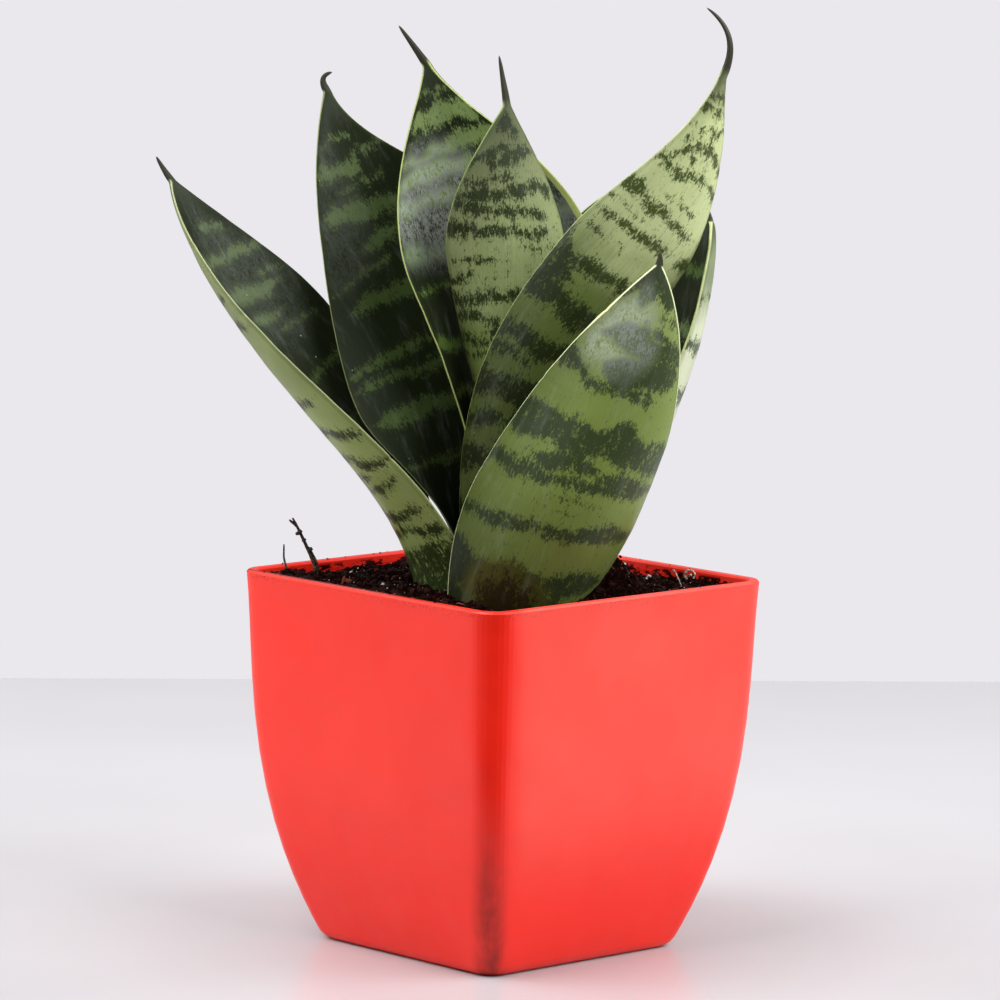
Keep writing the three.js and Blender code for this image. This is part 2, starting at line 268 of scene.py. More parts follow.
def set_camera():
    look = CAMERA_TURN + CAMERA_YAW
    ahead = Vector((-math.sin(look) * math.cos(CAMERA_PITCH),
                    math.cos(look) * math.cos(CAMERA_PITCH), -math.sin(CAMERA_PITCH)))
    level = Vector((math.cos(look), math.sin(look), 0))
    upright = level.cross(ahead)
    right = level * math.cos(CAMERA_ROLL) + upright * math.sin(CAMERA_ROLL)
    up = upright * math.cos(CAMERA_ROLL) - level * math.sin(CAMERA_ROLL)
    place = Vector((CAMERA_DISTANCE * math.sin(CAMERA_TURN),
                    -CAMERA_DISTANCE * math.cos(CAMERA_TURN), CAMERA_HEIGHT))
    data = bpy.data.cameras.new("camera")
    data.lens, data.sensor_width = LENS, SENSOR
    data.clip_start, data.clip_end = NEAREST_SEEN, FARTHEST_SEEN
    camera = put_in_scene("camera", data)
    turned = Matrix((right, up, -ahead)).transposed().to_4x4()
    camera.matrix_world = Matrix.Translation(place) @ turned
    bpy.context.scene.camera = camera


# ---- floor and light ----
FLOOR_REACH = 0.433  # from the pot's middle to the floor's far edge
FLOOR_FRONT = -0.12
FLOOR_SIDE = 1.2
FLOOR_DEPTH = 0.02
FLOOR_TURN = math.radians(51.5)  # of the floor's far edge
STUDIO_TURN = math.radians(46.7)  # the studio's front, from -Y towards +X


def floor_finish():
    finish = Finish("pale floor")
    place = finish.place()
    cloud = finish.grain(place, 0.012, 2)
    colour = finish.blend((201, 199, 202), (206, 204, 207), cloud)
    x, y, _ = place.parts()
    # Painted shade and light: the floor is painted darker towards the front and right round the pot, and
    # lighter beside the pot where the lamps cast its shadows.
    near = (x * math.sin(STUDIO_TURN) - y * math.cos(STUDIO_TURN)).rise(-60, 110)
    from_pot = (x * x + y * y) ** 0.5
    sideways = abs(x * math.cos(STUDIO_TURN) + y * math.sin(STUDIO_TURN)).rise(32, 62)
    painted_light_and_shade_by_pot = 0.08 * sideways * from_pot.rise(180, 100) - 0.06 * from_pot.rise(135, 45)
    colour = finish.shade(colour, (1 - 0.22 * near) * (1 + painted_light_and_shade_by_pot))
    rough = 0.22 + 0.06 * cloud
    height = finish.grain(place, 0.9, 2)
    return finish.done(Base_Color=colour, Roughness=rough, Specular_IOR_Level=0.2,
                       Normal=finish.bump(height, 0.004))


BACKDROP = (234, 232, 237)
ROOM_GLOW = 0.36
FRONT_GLOW = 0.03
TOP_GLOW = 0.15
# Each soft box: how far it is turned to the right of the camera in degrees, how far away and how
# high it stands, its width and height, and its power. All of them face the lit spot.
LIT_SPOT = (0, 0, 0.12)
SOFT_BOXES = [
    ("high_left", -68, 0.8, 1.1, (1.1, 1.1), 21.5),
    ("low_left_front", -38, 1.2, 0.23, (0.6, 0.18), 1.2),
    ("soft_right", 66, 1.0, 0.9, (1.4, 1.0), 23),
]


def lay_floor():
    turn = Matrix.Rotation(FLOOR_TURN, 3, "Z")
    corners = [(-FLOOR_SIDE, FLOOR_FRONT), (FLOOR_SIDE, FLOOR_FRONT),
               (FLOOR_SIDE, FLOOR_REACH), (-FLOOR_SIDE, FLOOR_REACH)]
    top = [turn @ Vector((x, y, 0)) for x, y in corners]
    below = [p - Vector((0, 0, FLOOR_DEPTH)) for p in top]
    faces = [(0, 1, 2, 3), (7, 6, 5, 4), (0, 4, 5, 1), (1, 5, 6, 2), (2, 6, 7, 3), (3, 7, 4, 0)]
    floor = put_in_scene("floor", mesh_from("floor", top + below, faces, floor_finish(), False))


def add_light(name, place, size, power):
    data = bpy.data.lights.new(name, "AREA")
    data.shape = "RECTANGLE"
    data.size, data.size_y = size
    data.energy = power
    light = put_in_scene(name, data)
    turn = Matrix.Rotation(PLANT_TURN, 3, "Z")
    light.location = turn @ Vector(place)
    towards = turn @ Vector(LIT_SPOT) - light.location
    light.rotation_mode = "QUATERNION"
    light.rotation_quaternion = towards.to_track_quat("-Z", "Y")


def set_light():
    world = bpy.data.worlds.new("studio")
    world.use_nodes = True
    studio = Recipe(world.node_tree)
    world.node_tree.nodes.clear()
    seen = studio.node("ShaderNodeLightPath").out("Is Camera Ray")
    x, y, z = studio.node("ShaderNodeTexCoord").parts()
    front = (x * math.sin(CAMERA_TURN) - y * math.cos(CAMERA_TURN)).rise(0.1, 0.85)
    glow = ROOM_GLOW - (ROOM_GLOW - FRONT_GLOW) * front + TOP_GLOW * z.rise(0.2, 0.9)
    cast = studio.node("ShaderNodeCombineColor", {0: glow, 1: glow, 2: glow * 1.03})
    colour = studio.blend(cast, BACKDROP, seen)
    sky = studio.node("ShaderNodeBackground", {"Color": colour, "Strength": 1.0})
    end = world.node_tree.nodes.new("ShaderNodeOutputWorld")
    world.node_tree.links.new(sky.socket, end.inputs["Surface"])
    bpy.context.scene.world = world
    for name, turn, distance, height, size, power in SOFT_BOXES:
        turn = math.radians(turn)
        place = (distance * math.sin(turn), -distance * math.cos(turn), height)
        add_light(name, place, size, power)
    view = bpy.context.scene.view_settings
    view.view_transform, view.look = "Standard", "None"


# ---- leaves ----
STATIONS = 230
ACROSS = 44
SPINE_SHARE = 0.12  # of the stations, beyond the blade's own length
SPINE_HALF = 1.2 * MM
SPINE_END_HALF = 0.35 * MM
SPINE_CHANNEL = math.radians(20)
THICK_AT_BASE = 2.8 * MM
THICK_AT_TIP = 1.7 * MM
THICK_AT_SPINE_END = 0.7 * MM
MARGIN_THICKNESS = 0.45 * MM
MARGIN_ROUND = 0.4 * MM
TIP_ROUNDNESS = 1.8
SPINE_ROUNDS_FROM = 0.8  # of its length
NICK_REACH = 0.8 * MM
RIPPLE, RIPPLE_SCALE = 0.9 * MM, 55.0
WAVE, WAVE_SCALE = 0.02, 90.0  # of the margins, as a share of half the width
ROOT_CLOSES = 0.003  # the share of the blade over which its root closes
SAME_POINT = 2e-6
RIB_STEPS, HOOK_STEPS = 160, 32

# Ribs, spines, open sides, channels and widths are those of the solids, with one base narrower.
# "outer" strokes are dark on light and "inner" ones light on dark: the place across (-1 to 1) and
# along at both ends, half the breadth at each, or once for both, and how full it is. Three numbers
# are a band from margin to margin: its place along, half its breadth and how full it is. A face
# without strokes shows the other's.
# Greens are a face's light, paler and dark. "pale" is where along the leaf the light turns paler,
# "faint" how far marks fade there, and "plain" how free of flecks the ground between marks is.
# "lean" paints one half lighter and the other darker, and "far_dark" paints shade over one half, or
# light where it is below 0. "rim" is the margin's colour, and "wide_rim" the side and the stretch where
# the margin is wider, and by how much. "base_shade" is the stretch of painted shade and the least light
# there, and "tip_from" the share of the length where the tip starts to darken.
# Nicks are notches in one margin. The sheens are painted highlights, and "brown" is a dry patch: the
# middle across and along, the reach both ways, and how full a sheen is.
LEAVES = {}
LEAVES["leaf_outer_left"] = dict(
    rib=[(-20, -1, 84), (-21, 1, 123.5), (-62, -13, 145), (-89.5, 3, 203.5)],
    spine=[(-91.8, 3, 206.5), (-93.9, 3, 210.2)], open=(20, -9, -30),
    channel=(58, 58, 30), width=53, widest=0.6, base=0.78, tip=1.0, flare=2.2,
    nicks=(121, 100, 50), nick_side=-1, nick_depth=0.5, rim=(176, 182, 142), rim_width=.06, gloss=.08,
    pale=(50, 120), base_shade=(0, 34, .7),
    outer_greens=((158, 176, 104), (142, 154, 102), (52, 64, 32)),
    inner_greens=((64, 80, 40), (84, 98, 62), (30, 38, 20)), painted_sheens=[(.2, 110, .8, 30, .1)],
    outer=[
        (-.8, 106, -.2, 105, 1.5, .7), (-.8, 98, -.2, 97, 1.5, .8), (-.75, 73, -.05, 73.5, 1.3, .9),
        (-.9, 60, -.5, 64, 1.4, .9), (-.5, 64, 0, 63, 1.6, 1.4, 1), (0, 63, .4, 58, 1.4, 1.2, .9),
        (-.9, 51, -.55, 51.5, 1.4, .9), (-.55, 54, -.1, 55, 1.4, 1.5, .95),
        (-.1, 55, .5, 47, 1.4, 1.3, .9), (-.5, 47.5, -.2, 48.5, 1.2, 1.3, .95),
        (-.2, 48.5, .6, 38, 1.4, .95), (-.8, 45, -.3, 43, 1.2, .9), (-.3, 43, .4, 39, 1.3, .9),
        (-.8, 34, 0, 36, 1.6, .95), (0, 36, .8, 27, 1.1, 1.4, .85), (-.9, 28, 0, 31, 1.6, 1.5, .85),
        (0, 31, .9, 22, 1.5, 1.6, .85), (-.9, 23, .9, 19, 2.6, .95), (-1, 14, 1, 12, 9, 1),
        (.35, 118, 1, 119, 2, .8), (.3, 106, 1, 107, 2, 2.4, .85), (.3, 95, 1, 96, 2, 2.2, .8),
        (.3, 84, 1, 84, 2, 2.2, .85), (.35, 73, 1, 72, 2, 2.4, .85)],
    inner=[
        (.1, 126, .7, 126, 1.2, 1.5, .75), (0, 117, .9, 116, 1.5, 1.6, .85), (-.9, 116, 0, 117, 1.5, .8),
        (-.1, 105, .6, 104, 2, 2.6, .95), (.6, 108, .95, 107, 1, 1.2, .6),
        (-.9, 104, -.2, 105, 1.5, 1.8, .7), (.1, 97, .45, 96, 2, .7), (.3, 91, .85, 90, 1.1, .5),
        (-.8, 92, 0, 91, 1.6, 1.4, .6), (.3, 75, .9, 76, 1.6, .6), (-.8, 76, .1, 75, 1.8, 1.6, .6),
        (.4, 60, .95, 61, 2, .5), (-.9, 59, .1, 60, 2, .5)])
LEAVES["leaf_back_left"] = dict(
    rib=[(-8, 14, 84), (10, 16, 164), (-45, 14, 192), (-49, 16, 227.3)],
    spine=[(-52, 16, 231.5), (-47.8, 16, 232.5)], open=(-48, -70, -68),
    channel=(66, 20, 25), width=67, widest=0.45, base=0.26, tip=1.25, flare=2.4,
    rim=(140, 152, 104), rim_width=.1, gloss=.1, pale=(90, 140),
    inner_greens=((70, 88, 44), (84, 100, 60), (31, 39, 21)), painted_sheens=[(-.6, 125, .5, 26, .08)],
    inner=[
        (-.9, 141, .3, 142, 1.2, 1.6, .45), (-.9, 134, .1, 133, 2.2, .8),
        (.1, 136, .9, 136, 1.2, 1.8, .5), (-.4, 128, .4, 128, 1, 1.2, .55),
        (-.75, 124, -.2, 122, 2, 3, .95), (-.2, 121, .4, 118, 3, 2, 1), (.4, 119, .95, 121, 1.6, .6),
        (-.4, 113, .3, 112, 1.6, 2.4, .8), (-.9, 107, -.2, 107, 1.2, 1.4, .5),
        (-.6, 99, 0, 98, 2.4, 3, .85), (0, 98, .8, 100, 2.4, 2, .7), (-.9, 83, -.1, 82, 1.6, 1.8, .7),
        (-.85, 77, -.2, 76, 1.6, 2.2, .7), (0, 79, .9, 80, 2, .6), (-.8, 64, 0, 64, 3, .7),
        (0, 64, .9, 66, 2.4, .6), (-.9, 48, .6, 48, 2.4, 2, .4)])
LEAVES["leaf_back_tall"] = dict(
    rib=[(1.5, 9, 84), (9, 15.5, 130.5), (-2, 16.5, 175), (-22.4, 12.5, 235)],
    spine=[(-26, 12.5, 240), (-30.2, 12.5, 245.5)], open=(-93, -67, -105),
    channel=(62, 63, 57), width=60, widest=0.66, base=0.35, tip=1.35, flare=2.0,
    rim=(174, 186, 112), rim_width=.08, rim_glow=.24, gloss=.1, pale=(100, 135), far_dark=-.8,
    inner_greens=((88, 110, 52), (126, 146, 88), (33, 41, 22)),
    painted_sheens=[(-.4, 119, .85, 18, .82), (.9, 112, .35, 16, .8)], wide_rim=(1, 98, 132, 1.9),
    inner=[
        (-.9, 147.5, .8, 148, 1, .7), (-.8, 141.5, .9, 141.5, 2.2, 3, 1), (-.9, 137, -.2, 138, 1, .5),
        (-.35, 133, .85, 133.5, 1.6, 2.8, 1), (-.95, 132, -.3, 131.5, 1.6, .7),
        (-.95, 127, .2, 127.5, 2, 2.2, .95), (.2, 126, .9, 126, 1.4, 1.8, .7),
        (-.95, 121, -.2, 120, 2.2, 1.8, .85), (-.1, 119, .9, 120, 1.6, 2, .8),
        (-.9, 108, -.2, 106, 2.8, 2, .7), (-.1, 107, .9, 108, 2.4, 2, .7), (-.9, 97, .9, 96, 1.4, 2, .5),
        (-.9, 82, -.2, 80, 2.6, 2.2, .6), (-.1, 80, .9, 82, 2, .5), (-.9, 67, .9, 66, 2, .5),
        (-.9, 50, .9, 50, 2, .4)])
LEAVES["leaf_centre"] = dict(
    rib=[(1.5, -2, 84), (7.5, -5, 119.5), (0, -6.5, 183), (-1, -5, 225.8)],
    spine=[(-2, -5, 232), (-3.3, -5, 239)], open=(82, 88, 130),
    channel=(70, 65, 14), width=34, widest=0.72, base=0.3, tip=1.05, flare=2.2,
    rim=(132, 150, 80), rim_width=.2, gloss=.15, pale=(60, 125), lean=.18, far_dark=.12, plain=1.7,
    tip_from=.72, outer_greens=((120, 138, 74), (156, 168, 116), (45, 56, 26)),
    outer=[
        (-.4, 136, .6, 138, 2.4, 2.8, .85), (-.7, 130, .4, 127.5, 2, 2.3, .9),
        (.2, 131, .95, 128, 2, 1.6, .85), (-.2, 123, .8, 122.5, 1.4, 1.8, .75),
        (-.8, 120, .1, 119, 2.2, 2, .85), (.1, 118, .9, 119, 2, 2.6, .85),
        (-.6, 113, .1, 114, 1.6, 1.8, .8), (.2, 114.5, .9, 116, 1.8, 2.4, .8),
        (-.5, 108, .3, 109, 1.8, 2, .8), (.3, 109, .95, 110.5, 2, 2.4, .8),
        (.1, 101.5, .9, 101, 1, 1.2, .65), (-.7, 104, -.1, 104.5, .9, 1, .55),
        (-.5, 86, .1, 87, .9, 1, .6), (.6, 97, .95, 96, 1.4, 1.8, .8), (-1, 98, -.35, 95, 5, 3, .9),
        (-1, 91, -.2, 89, 3, 1.5, .85), (-.1, 92, .5, 91, 1.6, 1.8, .95),
        (.5, 91.5, .95, 91, 1.8, 2, .95), (.2, 85.5, .95, 86.5, 1.4, 1.6, .85),
        (-.9, 80, .2, 82, 2, 2.6, .9), (.2, 79.5, .9, 80, 1.2, 1.4, .95), (.4, 75.5, .95, 76, 1, .75),
        (-1, 71, 0, 73, 1.6, 3, .9), (-.1, 67, .9, 66, 2.4, 2, .85), (-1, 57, .9, 56, 3, .85),
        (44, 4, .95), (20, 14, 1)])
LEAVES["leaf_inner_right"] = dict(
    rib=[(4, -14, 84), (-6, -16, 183), (43, -21, 168), (55.2, -19, 235)],
    spine=[(60.5, -19, 246.5), (50.6, -19, 253.2)], open=(94, 111, 124),
    channel=(68, 48, 35), width=35.5, widest=0.65, base=0.66, tip=1.35, flare=0.9,
    rim=(170, 182, 116), rim_width=.22, gloss=.2, pale=(86, 130), faint=.3, lean=-.02, far_dark=.34,
    plain=1.9, base_shade=(60, 135, .45),
    outer_greens=((114, 132, 66), (204, 216, 156), (48, 60, 28)),
    outer=[
        (-1, 159, 1, 159.5, 1.4, .8), (-.9, 154.5, .9, 156, 1.2, 1.4, .75), (-1, 151, .4, 150, 1.3, .75),
        (.3, 152, .9, 151, 1, 1.2, .6), (-.95, 140, -.2, 146, 1.3, 2, .85),
        (-.2, 146, .6, 143, 2, 1.6, .85), (.1, 142, .65, 147, 1.3, .7),
        (-.95, 134, -.3, 138, 1.4, 1.6, .8), (-.3, 138, .3, 136, 1.7, .85), (.3, 137, .95, 139, 1.4, .8),
        (-.5, 129, .3, 130, 1, .6), (.05, 125.5, .5, 126.5, 1.5, 1.6, 1),
        (.5, 126.5, 1, 129, 1.6, 2.3, 1), (-.6, 123.5, .05, 125, 1.1, 1.4, .8),
        (-1, 118, -.65, 116, 3, 1.4, .8), (-.4, 118, .5, 116.5, 1.3, 1.6, .8),
        (.5, 117, .95, 117.5, 1.2, 1.8, .7), (.3, 121, .9, 122, .8, 1.2, .6),
        (.2, 111, .9, 111, .8, 1.2, .5), (-.1, 103.5, .9, 101.5, 1.8, 2.4, .95),
        (.8, 96, 1, 97, 6, 9, .9), (-.9, 103, -.1, 103, 2, 1.8, .8), (-.9, 92, .1, 90, 3, 3.5, .95),
        (.1, 90, .95, 91.5, 3.6, 3.4, 1), (-.9, 78, .1, 79, 2.4, 2.6, .95),
        (.1, 79, .95, 78, 2.6, 2.4, .95), (.4, 73.5, .95, 74.5, 1.1, 1.6, .8), (-1, 66, .1, 67, 3, .95),
        (.1, 67, .95, 65, 3.1, 3.2, 1), (.3, 58, .95, 57, 1.7, 2.2, .9), (-1, 54, .2, 55, 2, .8),
        (.3, 48, 1, 47, 2.8, 3.2, 1), (-1, 42, .3, 44, 3, .9), (33, 4, .9), (14, 11, 1)])
LEAVES["leaf_front"] = dict(
    rib=[(5, -27.5, 84), (4, -37, 110), (31, -40, 147.5), (39, -40, 187)],
    spine=[(39.5, -40, 189), (39.2, -40, 191)], open=(104, 94, 91),
    channel=(62, 72, 20), width=56.5, widest=0.31, base=0.68, tip=0.96, flare=1.25,
    rim=(214, 220, 172), rim_width=.6, pale=(62, 130), lean=.2, far_dark=.4, plain=2.1,
    brown=(.24, 12, .36, 9), base_shade=(6, 60, .52), gloss=.18, rim_glow=.2,
    outer_greens=((120, 138, 68), (146, 160, 106), (58, 70, 42)), painted_sheens=[(.25, 92, .7, 14, .58)],
    wide_rim=(1, 84, 104, .4),
    outer=[
        (107, 6.5, .95), (-.95, 96, -.4, 98, 1.2, 1.4, .75), (-.5, 93, -.05, 91, 1.5, 3, .8),
        (-.8, 84, -.05, 81, 3, 6, .95), (-.85, 89, .3, 90, 3, 5, .9),
        (-.4, 76.5, .4, 75.5, 2.2, 1.4, .85), (.4, 76, .95, 80, 1.4, 3, .95),
        (-1, 61, -.3, 63, 3.6, 5.8, 1), (-.3, 62, .2, 59.5, 5, 4.6, 1), (.2, 60, .9, 59, 5.2, 4.8, 1),
        (.08, 54, .25, 52, 4, .95), (-1, 53, -.35, 52, 1.6, 3.2, .95), (-.35, 51, 0, 49.5, 2.6, 1.6, .85),
        (0, 49, .95, 45, 1.6, 2.4, 1), (-.9, 38, -.25, 37, 1.6, 3, .95),
        (-.25, 36, .3, 33.5, 1.9, 1.3, .9), (.3, 33.5, .97, 29, 1.6, 1.4, 1), (-.1, 41, .3, 41, .7, .35),
        (-.3, 46, .1, 43, .8, 1.2, .5), (-.65, 22, -.2, 20, 3, 4, .9), (.05, 17, .97, 16, 5.5, 6, 1),
        (10, 5, 1)])
LEAVES["leaf_outer_right"] = dict(
    rib=[(23, -1, 84), (31, -1, 122), (53, -2, 154), (53.4, 0, 195.3)],
    spine=[(53.2, 0, 197.2), (52.5, 0, 199.2)], open=(184, 194, 209),
    channel=(72, 58, 59), width=37.5, widest=0.52, base=0.61, tip=0.53, flare=1.3,
    rim=(176, 186, 128), rim_width=.3, gloss=.2, pale=(106, 84),
    outer_greens=((128, 140, 104), (212, 220, 186), (74, 88, 60)),
    outer=[
        (97, 1.6, .6), (84, 2, .7), (70, 2.2, .8), (-1, 58, 1, 59, 2.4, .8), (-1, 46, 1, 47, 2.4, .8),
        (33, 3, .9), (14, 10, 1)],
    inner=[
        (103, 2, .7), (86, 2, .7), (66, 2.4, .6), (38, 2, .5)])
LEAVES["leaf_back_right"] = dict(
    rib=[(13, 21, 84), (17, 26, 118), (21.5, 31, 156), (30.6, 34, 200.2)],
    spine=[(31, 34, 202), (32, 34, 203.5)], open=(-118, -109, -100),
    channel=(48, 37, 27), width=43, widest=0.58, base=0.6, tip=0.69, flare=1.3,
    rim=(140, 156, 90), rim_width=.2, pale=(60, 100),
    inner=[
        (100, 2.4, .8), (-1, 84, 1, 85, 3, .8), (68, 3, .8), (51, 3, .7), (-1, 34, 1, 33, 2, .6)])
LEAF_POINTS = ("Root", "Lower Pull", "Upper Pull", "Tip", "Spine Bend", "Spine End")


def leaf_growth():
    """A channelled blade swept along a rib, with a spine at its tip.

    s runs from 0 to 1 along the blade, q along the spine, and v from -1 to 1 across.
    """
    vectors = [*LEAF_POINTS, "Open Turn", "Channel", "Nicks"]
    numbers = ["Width", "Widest", "Base Share", "Tip Fullness", "Flare", "Nick Side", "Nick Depth", "Seed"]
    kinds = {**dict.fromkeys(vectors, "Vector"), **dict.fromkeys(numbers, "Float")}
    leaf = Growth("leaf blade", {**kinds, "Material": "Material"})
    want = leaf.want

    sizes = {"Size X": 2.0, "Size Y": 1.0, "Vertices X": ACROSS + 1, "Vertices Y": STATIONS + 1}
    grid = leaf.node("GeometryNodeMeshGrid", sizes)
    u, w, _ = leaf.node("GeometryNodeInputPosition").parts()
    v = (u * (math.pi / 2)).sin()
    total = (w + 0.5) * (1 + SPINE_SHARE)
    s = total.least(1)
    q = (total - 1).most(0) / SPINE_SHARE
    in_spine = q.rise(0, 0.3)

    def along(name):
        """The value at s, on a curve through those at the root, the middle and the tip."""
        root, middle, tip = want(name).parts()
        return root * (1 - s) * (1 - 2 * s) + 4 * middle * s * (1 - s) + tip * s * (2 * s - 1)

    base, widest = want("Base Share"), want("Widest")
    rise = (s / widest).least(1)
    fall = ((s - widest) / (1 - widest)).most(0)
    lower = base + (1 - base) * (rise * (math.pi / 2)).sin() ** want("Flare")
    upper = (1 - fall ** TIP_ROUNDNESS).most(0) ** want("Tip Fullness")
    cap = (1 - ((q - SPINE_ROUNDS_FROM) / (1 - SPINE_ROUNDS_FROM)).most(0) ** 2).most(0) ** 0.5
    half = want("Width") / 2 * lower * upper + SPINE_HALF - q * (SPINE_HALF - SPINE_END_HALF)

    def sample(kind, steps, names, share, **settings):
        """The length of a curve by the named points, and the place on it at the share."""
        curve = leaf.node(kind, dict(enumerate([steps, *map(want, names)])), **settings)
        length = leaf.node("GeometryNodeCurveLength", {0: curve})
        sockets = {"Curves": curve, "Factor": share}
        return length, leaf.node("GeometryNodeSampleCurve", sockets, 1, mode="FACTOR")

    rib_length, rib = sample("GeometryNodeCurvePrimitiveBezierSegment", RIB_STEPS, LEAF_POINTS[:4], s,
                             mode="POSITION")
    hook_length, spine = sample("GeometryNodeCurveQuadraticBezier", HOOK_STEPS, LEAF_POINTS[3:], q)
    centre = rib.plus(spine.minus(want("Tip")))
    ways = {0: in_spine, 4: rib.out("Tangent"), 5: spine.out("Tangent")}
    ahead = leaf.vector("NORMALIZE", leaf.node("ShaderNodeMix", ways, 1, data_type="VECTOR"))

    angle = along("Open Turn")
    facing = leaf.join_xyz(angle.cos(), angle.sin(), 0.0)
    lean = leaf.vector("DOT_PRODUCT", facing, ahead, "Value")
    open_side = leaf.vector("NORMALIZE", facing.minus(ahead.scaled(lean)))
    side = leaf.vector("CROSS_PRODUCT", ahead, open_side)
    channel = along("Channel")
    channel = channel + in_spine * (SPINE_CHANNEL - channel)
    bent = v * channel

    run = s * rib_length + q * hook_length
    near_nick = 0.0
    for nick in want("Nicks").parts():
        gap = (run - nick) / NICK_REACH
        near_nick = near_nick + (-1 * gap * gap).exp()
    on_side = (v * want("Nick Side")).rise(0, 0.6)
    wave = leaf.grain(leaf.join_xyz(run, v.rise(-0.5, 0.5), want("Seed")), WAVE_SCALE, 3)
    shaped = (half - near_nick * on_side * want("Nick Depth")) * (1 + WAVE * (wave - 0.5) * s) * cap

    thickness = THICK_AT_BASE + (THICK_AT_TIP - THICK_AT_BASE) * s
    thickness = thickness - q * (THICK_AT_TIP - THICK_AT_SPINE_END)
    edge = thickness.least(MARGIN_THICKNESS)
    from_margin = half * (1 - abs(v))
    nose = (1 - (1 - (from_margin / MARGIN_ROUND).least(1)) ** 2).most(0) ** 0.5
    ends = total.rise(0, ROOT_CLOSES) * cap
    thick = (edge + (thickness - edge) * (1 - v * v).most(0) ** 0.5) * nose * ends
    swell = leaf.grain(leaf.join_xyz(v * half, run, want("Seed")), RIPPLE_SCALE, 2) - 0.5
    ripple = RIPPLE * swell * s.rise(0.05, 0.3) * (1 - q)

    across = side.scaled(shaped * bent.sin() / channel)
    inward = open_side.scaled(shaped * (1 - bent.cos()) / channel)
    middle = centre.plus(across).plus(inward)
    normal = side.scaled(-1 * bent.sin()).plus(open_side.scaled(bent.cos()))

    kept = {"across": v * half / MM, "along": run / MM, "from_margin": from_margin / MM,
            "share_across": v, "in_spine": q}
    for name, value in kept.items():
        grid = leaf.keep(grid, name, value)
    faces = []
    for outer in (True, False):
        lift = ripple + thick * (-0.5 if outer else 0.5)
        marked = leaf.keep(grid, "outer_face", float(outer))
        moved = leaf.move(marked, Position=middle.plus(normal.scaled(lift)))
        faces.append(moved if outer else leaf.node("GeometryNodeFlipFaces", {0: moved}))
    joined = leaf.node("GeometryNodeJoinGeometry", {0: faces})
    near = {"Geometry": joined, "Distance": SAME_POINT}
    leaf.give(leaf.node("GeometryNodeMergeByDistance", near))
    return leaf


def read_points(mesh, name):
    values = np.zeros(len(mesh.vertices), np.float32)
    mesh.attributes[name].data.foreach_get("value", values)
    return values.astype(float)


def keep_points(mesh, name, values):
    made = mesh.attributes.new(name, "FLOAT", "POINT")
    made.data.foreach_set("value", np.asarray(values, np.float32))


DEEPEST_MARK = 1.5  # mm, so that a broad mark is still flecked in its middle
THINNED = 2.4  # mm that an empty mark loses of half its breadth
PAST_END = 16  # mm that a mark loses at half the leaf's breadth past its end
OTHER_FACE = {"outer": "inner", "inner": "outer"}


def seven(stroke):
    """The stroke's numbers in full."""
    if len(stroke) == 3:
        run, half, full = stroke
        return -1, run, 1, run, half, half, full
    return stroke if len(stroke) == 7 else (*stroke[:5], *stroke[4:])


def dark_field(leaf, face, across, along, seed):
    """How far, in millimetres, each point is inside the dark of the markings, below 0 outside."""
    shown = face if face in leaf else OTHER_FACE[face]
    field = np.full(len(across), -leaf["plain"])
    for i, stroke in enumerate(leaf[shown]):
        from_side, from_run, to_side, to_run, from_half, to_half, full = seven(stroke)
        share = np.clip((across - from_side) / (to_side - from_side), 0, 1)
        turn = seed * 1.7 + i * 2.3
        line = from_run + (to_run - from_run) * share
        line = line + 0.5 * np.sin(5.3 * across + turn) + 0.35 * np.sin(11.7 * across + 2.1 * turn)
        half = from_half + (to_half - from_half) * share
        half = half * (1 + 0.2 * np.sin(7.9 * across + 3.7 * turn))
        past = np.maximum(np.maximum(from_side - across, across - to_side), 0)
        inside = half - np.abs(along - line) - (1 - full) * THINNED - past * PAST_END
        field = np.maximum(field, inside)
    return np.clip(field, -leaf["plain"], DEEPEST_MARK) * (1 if shown == "outer" else -1)


# What a leaf has if its own table doesn't say otherwise.
USUAL = dict(inner_greens=((78, 98, 48), (104, 124, 78), (33, 41, 22)),
             outer_greens=((112, 128, 70), (160, 172, 126), (50, 62, 33)),
             plain=6.0, faint=0, lean=0, far_dark=0, painted_sheens=(), base_shade=(10, 75, .62), tip_from=.92,
             gloss=.25, rim_glow=.12, nicks=(40, 70, 95), nick_side=1, nick_depth=.15)
SOFTNESS = {"inner_greens": 1.2, "outer_greens": 0.9}  # mm, of the marks' edges


